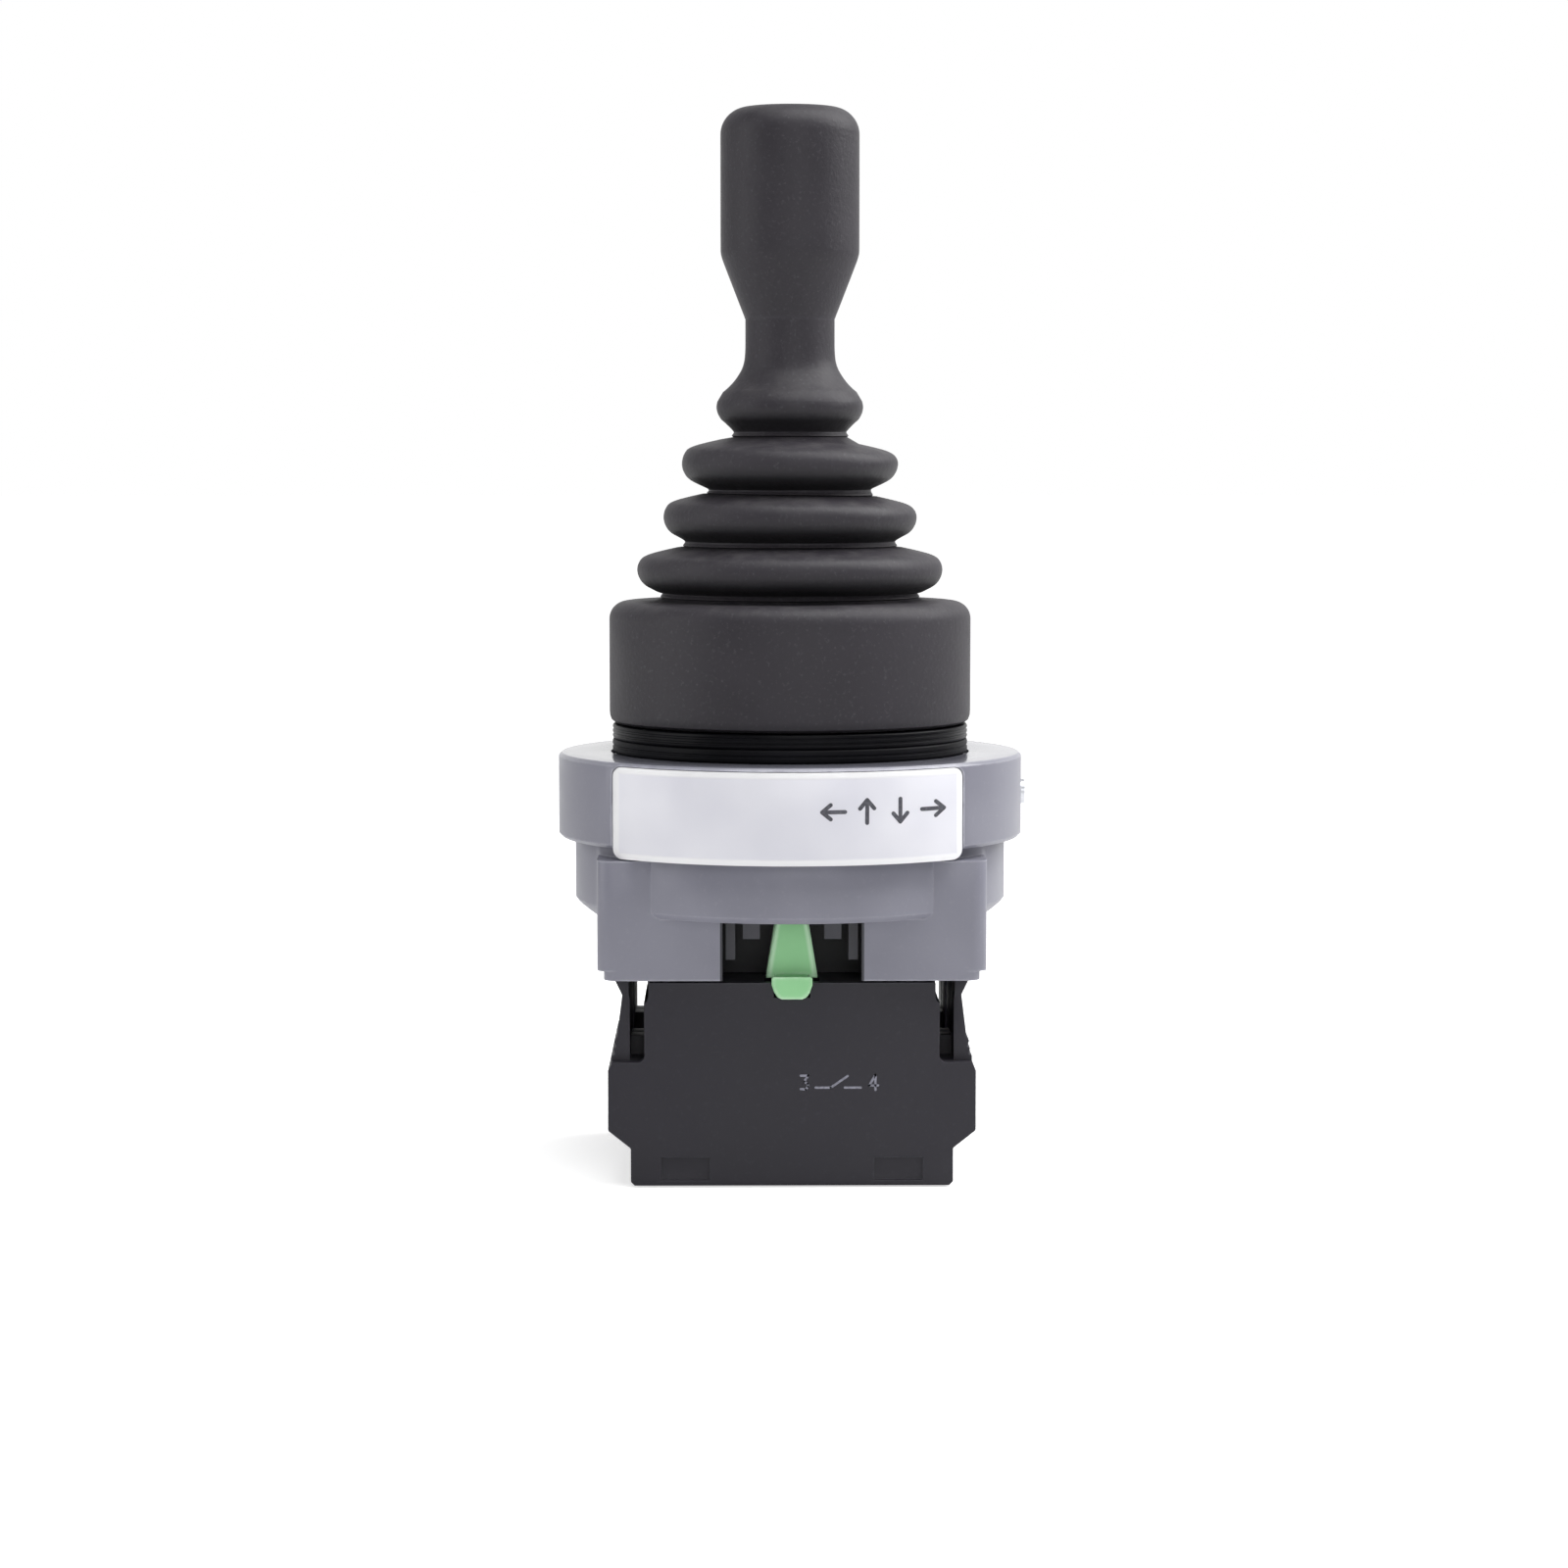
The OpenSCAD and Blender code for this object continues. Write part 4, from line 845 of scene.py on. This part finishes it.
innerPlasticLook = dict(blockLook, colour=paint(44, 44, 48), shade=paint(38, 38, 42))
whitePlasticLook = {
    "colour": paint(228, 226, 216), "shade": paint(216, 213, 202), "speckColour": paint(240, 238, 230),
    "edgeColour": paint(246, 245, 240), "specks": 0.2, "edgeAmount": 0.4, "edgeWidth": 0.0002,
    "grainScale": 1500.0, "rough": 0.4, "roughSpread": 0.05, "bump": 0.12, "bumpDepth": 0.00004,
    "dust": 0.04,
}
metalLooks = {
    "steel": {
        "colour": paint(198, 199, 204), "shade": paint(168, 170, 176), "edgeColour": paint(225, 226, 230),
        "rough": 0.3, "lineScale": 1600.0, "along": (1.0, 1.0, 0.15),
    },
    "paleZinc": {
        "colour": paint(226, 227, 231), "shade": paint(206, 208, 214), "edgeColour": paint(242, 242, 245),
        "rough": 0.34, "lineScale": 1200.0, "along": (0.2, 1.0, 1.0),
    },
    "blackened": {
        "colour": paint(104, 104, 110), "shade": paint(82, 82, 88), "edgeColour": paint(150, 150, 156),
        "rough": 0.42, "lineScale": 1300.0, "along": (1.0, 0.2, 1.0),
    },
    "castAlloy": {
        "colour": paint(186, 187, 192), "shade": paint(160, 162, 168), "edgeColour": paint(214, 215, 220),
        "rough": 0.46, "lineScale": 1500.0,
    },
    "springWire": {
        "colour": paint(182, 184, 190), "shade": paint(148, 150, 158), "edgeColour": paint(214, 215, 220),
        "rough": 0.28, "lineScale": 2200.0,
    },
    "stampedBrass": {
        "colour": paint(214, 184, 112), "shade": paint(190, 156, 86), "edgeColour": paint(232, 208, 146),
        "rough": 0.3, "lineScale": 1400.0, "along": (0.15, 1.0, 1.0),
    },
    "contactCopper": {
        "colour": paint(206, 142, 104), "shade": paint(176, 112, 78), "edgeColour": paint(228, 176, 142),
        "rough": 0.32, "lineScale": 1400.0, "along": (0.15, 1.0, 1.0),
    },
}
metals = {name: metalFinish(name, look) for name, look in metalLooks.items()}
dress(("neck_body", "dust_shields"), mouldedFinish("neckSkin", innerPlasticLook), edge=0.12)
dress(("rod_guide", "push_rod_front", "push_rod_left", "push_rod_right", "push_rod_back"),
      mouldedFinish("guideSkin", whitePlasticLook), edge=0.1)
dress(("lever_shaft", "lever_nut", "gimbal_outer_pins", "gimbal_inner_pins", "gate_screws", "flange_screws",
       "skirt_screws"), metals["steel"], edge=0.1)
dress(("set_screws",), metals["paleZinc"], edge=0.18, angle=40, segments=3)
dress(("lever_hub", "swash_plate", "gate_plate"), metals["blackened"], edge=0.1)
dress(("gimbal_ring",), metals["castAlloy"], edge=0.12)
dress(("pin_spacers",), metals["stampedBrass"], edge=0.05)
dress(numbered("terminals"), metals["stampedBrass"], edge=0.06)
dress(numbered("contact_bridge"), metals["contactCopper"], edge=0.06)
dress(numbered("terminal_screws"), metals["steel"], edge=0.08)


coilSteps, coilSides = 20, 8  # rings to a turn, and corners of the wire


def coiled(name, node, wire, turns, part=(0.0, 1.0), waist=()):
    # a wire wound into the node's box, wire in mm: part says which share of its height it fills, and
    # waist gives pairs of a height's share and the winding's radius in mm
    low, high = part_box(node)
    middle = (low + high) / 2
    radius = (high.x - low.x) / 2 - wire * mm
    foot, rise = low.z + wire * mm, high.z - low.z - 2 * wire * mm
    mesh = bpy.data.meshes.new(name)
    build = bmesh.new()
    rings = []
    steps = round(turns * coilSteps * (part[1] - part[0]))
    for k in range(steps + 1):
        t = part[0] + (part[1] - part[0]) * k / steps
        a = 2 * math.pi * turns * t
        wound = radius
        for (t0, r0), (t1, r1) in zip(waist, waist[1:]):
            if t0 <= t <= t1:
                wound = (r0 + (r1 - r0) * (t - t0) / (t1 - t0)) * mm
        ring = []
        for c in range(coilSides):
            b = 2 * math.pi * c / coilSides
            r = wound + wire * mm * math.cos(b)
            z = foot + rise * t + wire * mm * math.sin(b)
            ring.append(build.verts.new((middle.x + r * math.cos(a), middle.y + r * math.sin(a), z)))
        rings.append(ring)
    for lower, upper in zip(rings, rings[1:]):
        for c in range(coilSides):
            n = (c + 1) % coilSides
            build.faces.new((lower[c], lower[n], upper[n], upper[c]))
    build.faces.new(rings[0])
    build.faces.new(rings[-1])
    shadeByAngle(closeMesh(build, mesh), degrees=60)
    piece = addPiece(name, mesh, metals["springWire"])
    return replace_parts(piece, node), low, high


springWires = {"return": (0.18, 5), "plunger": (0.25, 7)}  # radius in mm and turns
returnWaist = ((0.0, 5.2), (0.12, 4.9), (0.3, 3.6), (0.45, 3.6), (0.55, 3.8), (0.64, 4.2), (1.0, 4.2))
returnSplit = 0.37  # share of the height where the halves meet


def makeSprings():
    # the return spring as a foot and a head, with a waist that clears the push rods, and the four plunger
    # springs
    wire, turns = springWires["return"]
    foot, low, high = coiled("returnSpringFoot", "return_spring", wire, turns,
                             part=(0.0, returnSplit), waist=returnWaist)
    head = coiled("returnSpringHead", "return_spring", wire, turns,
                  part=(returnSplit, 1.0), waist=returnWaist)[0]
    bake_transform(foot)
    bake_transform(head)
    wire, turns = springWires["plunger"]
    for n, pusher in enumerate(("front", "left", "right", "back"), 1):
        coil, low, high = coiled("plungerSpring%d" % n, "plunger_spring_%d" % n, wire, turns)
        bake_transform(coil)


makeSprings()
print("inner pieces done")


stageLook = {  # near, far, halfSize and drop in metres
    "floor": 0.86, "nearGlow": 0.62, "near": 0.10, "far": 0.45, "ambient": 0.25, "room": 0.24,
    "halfSize": 6.0, "drop": 0.0002,
}


def mirroredRay(tree, ray):
    return reckon(tree, "MAXIMUM", ray.outputs["Is Glossy Ray"], ray.outputs["Is Transmission Ray"])


def makeFloor():
    # white floor: bright to the eye, and it still takes the object's shadow
    mesh = bpy.data.meshes.new("floor")
    build = bmesh.new()
    bmesh.ops.create_grid(build, x_segments=8, y_segments=8, size=stageLook["halfSize"])
    build.to_mesh(mesh)
    build.free()
    material = bpy.data.materials.new("floorWhite")
    material.use_nodes = True
    tree = material.node_tree
    tree.nodes.clear()
    out = place(tree, "ShaderNodeOutputMaterial")
    matte = place(tree, "ShaderNodeBsdfDiffuse")
    matte.inputs["Color"].default_value = (stageLook["floor"],) * 3 + (1,)
    glow = place(tree, "ShaderNodeEmission")
    where = objectPlace(tree)
    length = place(tree, "ShaderNodeVectorMath", operation="LENGTH")
    feed(tree, length.inputs[0], where)
    level = spread(tree, length.outputs["Value"], stageLook["near"], stageLook["far"],
                   toLow=stageLook["nearGlow"])
    ray = place(tree, "ShaderNodeLightPath")
    behind = spread(tree, axes(tree, where)[1], low=0.1, high=0.8, toLow=stageLook["room"])
    mirrored = reckon(tree, "MULTIPLY", mirroredRay(tree, ray), behind)
    seen = reckon(tree, "MAXIMUM", ray.outputs["Is Camera Ray"], mirrored)
    feed(tree, glow.inputs["Strength"], reckon(tree, "MULTIPLY", seen, level))
    both = place(tree, "ShaderNodeAddShader")
    feed(tree, both.inputs[0], matte.outputs[0])
    feed(tree, both.inputs[1], glow.outputs[0])
    feed(tree, out.inputs["Surface"], both.outputs[0])
    floor = addPiece("floor", mesh, material)
    floor.location.z = -stageLook["drop"]


def background(tree, strength):
    node = place(tree, "ShaderNodeBackground")
    node.inputs["Color"].default_value = (1, 1, 1, 1)
    feed(tree, node.inputs["Strength"], strength)
    return node.outputs[0]


def mixShaders(tree, factor, first, second):
    node = place(tree, "ShaderNodeMixShader")
    for socket, source in zip(node.inputs, (factor, first, second)):
        feed(tree, socket, source)
    return node.outputs[0]


def makeWorld():
    # white to the eye; in reflections it is white behind the object and a dimmer room in front
    world = bpy.data.worlds.new("studio")
    scene.world = world
    world.use_nodes = True
    tree = world.node_tree
    tree.nodes.clear()
    out = place(tree, "ShaderNodeOutputWorld")
    direction = place(tree, "ShaderNodeTexCoord").outputs["Generated"]
    room = spread(tree, axes(tree, direction)[1], low=0.3, high=0.97, toLow=stageLook["room"])
    ray = place(tree, "ShaderNodeLightPath")
    ambient = background(tree, reckon(tree, "MULTIPLY", room, stageLook["ambient"]))
    lighting = mixShaders(tree, mirroredRay(tree, ray), ambient, background(tree, room))
    sight = mixShaders(tree, ray.outputs["Is Camera Ray"], lighting, background(tree, 1.0))
    feed(tree, out.inputs["Surface"], sight)


lamps = {  # place, width and height in metres, and watts
    "leftBox": {"at": (-0.44, -0.09, 0.14), "size": (0.30, 0.60), "power": 0.9},
    "rightBox": {"at": (0.36, 0.06, 0.36), "size": (0.40, 0.40), "power": 2.1},
    "topBox": {"at": (0.08, -0.12, 0.58), "size": (0.45, 0.45), "power": 2.4},
    "frontFill": {"at": (0.12, -0.75, 0.30), "size": (0.50, 0.40), "power": 1.05},
}


def aim(thing, target):
    thing.rotation_euler = (Vector(target) - thing.location).to_track_quat("-Z", "Y").to_euler()


def makeLamps():
    middle = (0, 0, (cadLow.z + cadHigh.z) / 2)
    for name, lamp in lamps.items():
        light = bpy.data.lights.new(name, "AREA")
        light.shape = "RECTANGLE"
        light.size, light.size_y = lamp["size"]
        light.energy = lamp["power"]
        thing = bpy.data.objects.new(name, light)
        scene.collection.objects.link(thing)
        thing.location = lamp["at"]
        aim(thing, middle)


cameraLook = {  # places in mm, clip in metres
    "lens": 90.0, "sensor": 36.0, "clip": (0.01, 20),
    "at": (-5.5, -428.4, 78.0), "target": (-0.65, 0.0, 41.3),
}


def makeCamera():
    data = bpy.data.cameras.new("camera")
    data.lens, data.sensor_width = cameraLook["lens"], cameraLook["sensor"]
    data.clip_start, data.clip_end = cameraLook["clip"]
    camera = bpy.data.objects.new("camera", data)
    scene.collection.objects.link(camera)
    camera.location = Vector(cameraLook["at"]) * mm
    aim(camera, Vector(cameraLook["target"]) * mm)
    scene.camera = camera


makeFloor()
makeWorld()
makeLamps()
makeCamera()
scene.view_settings.view_transform = "Standard"
print("stage done")
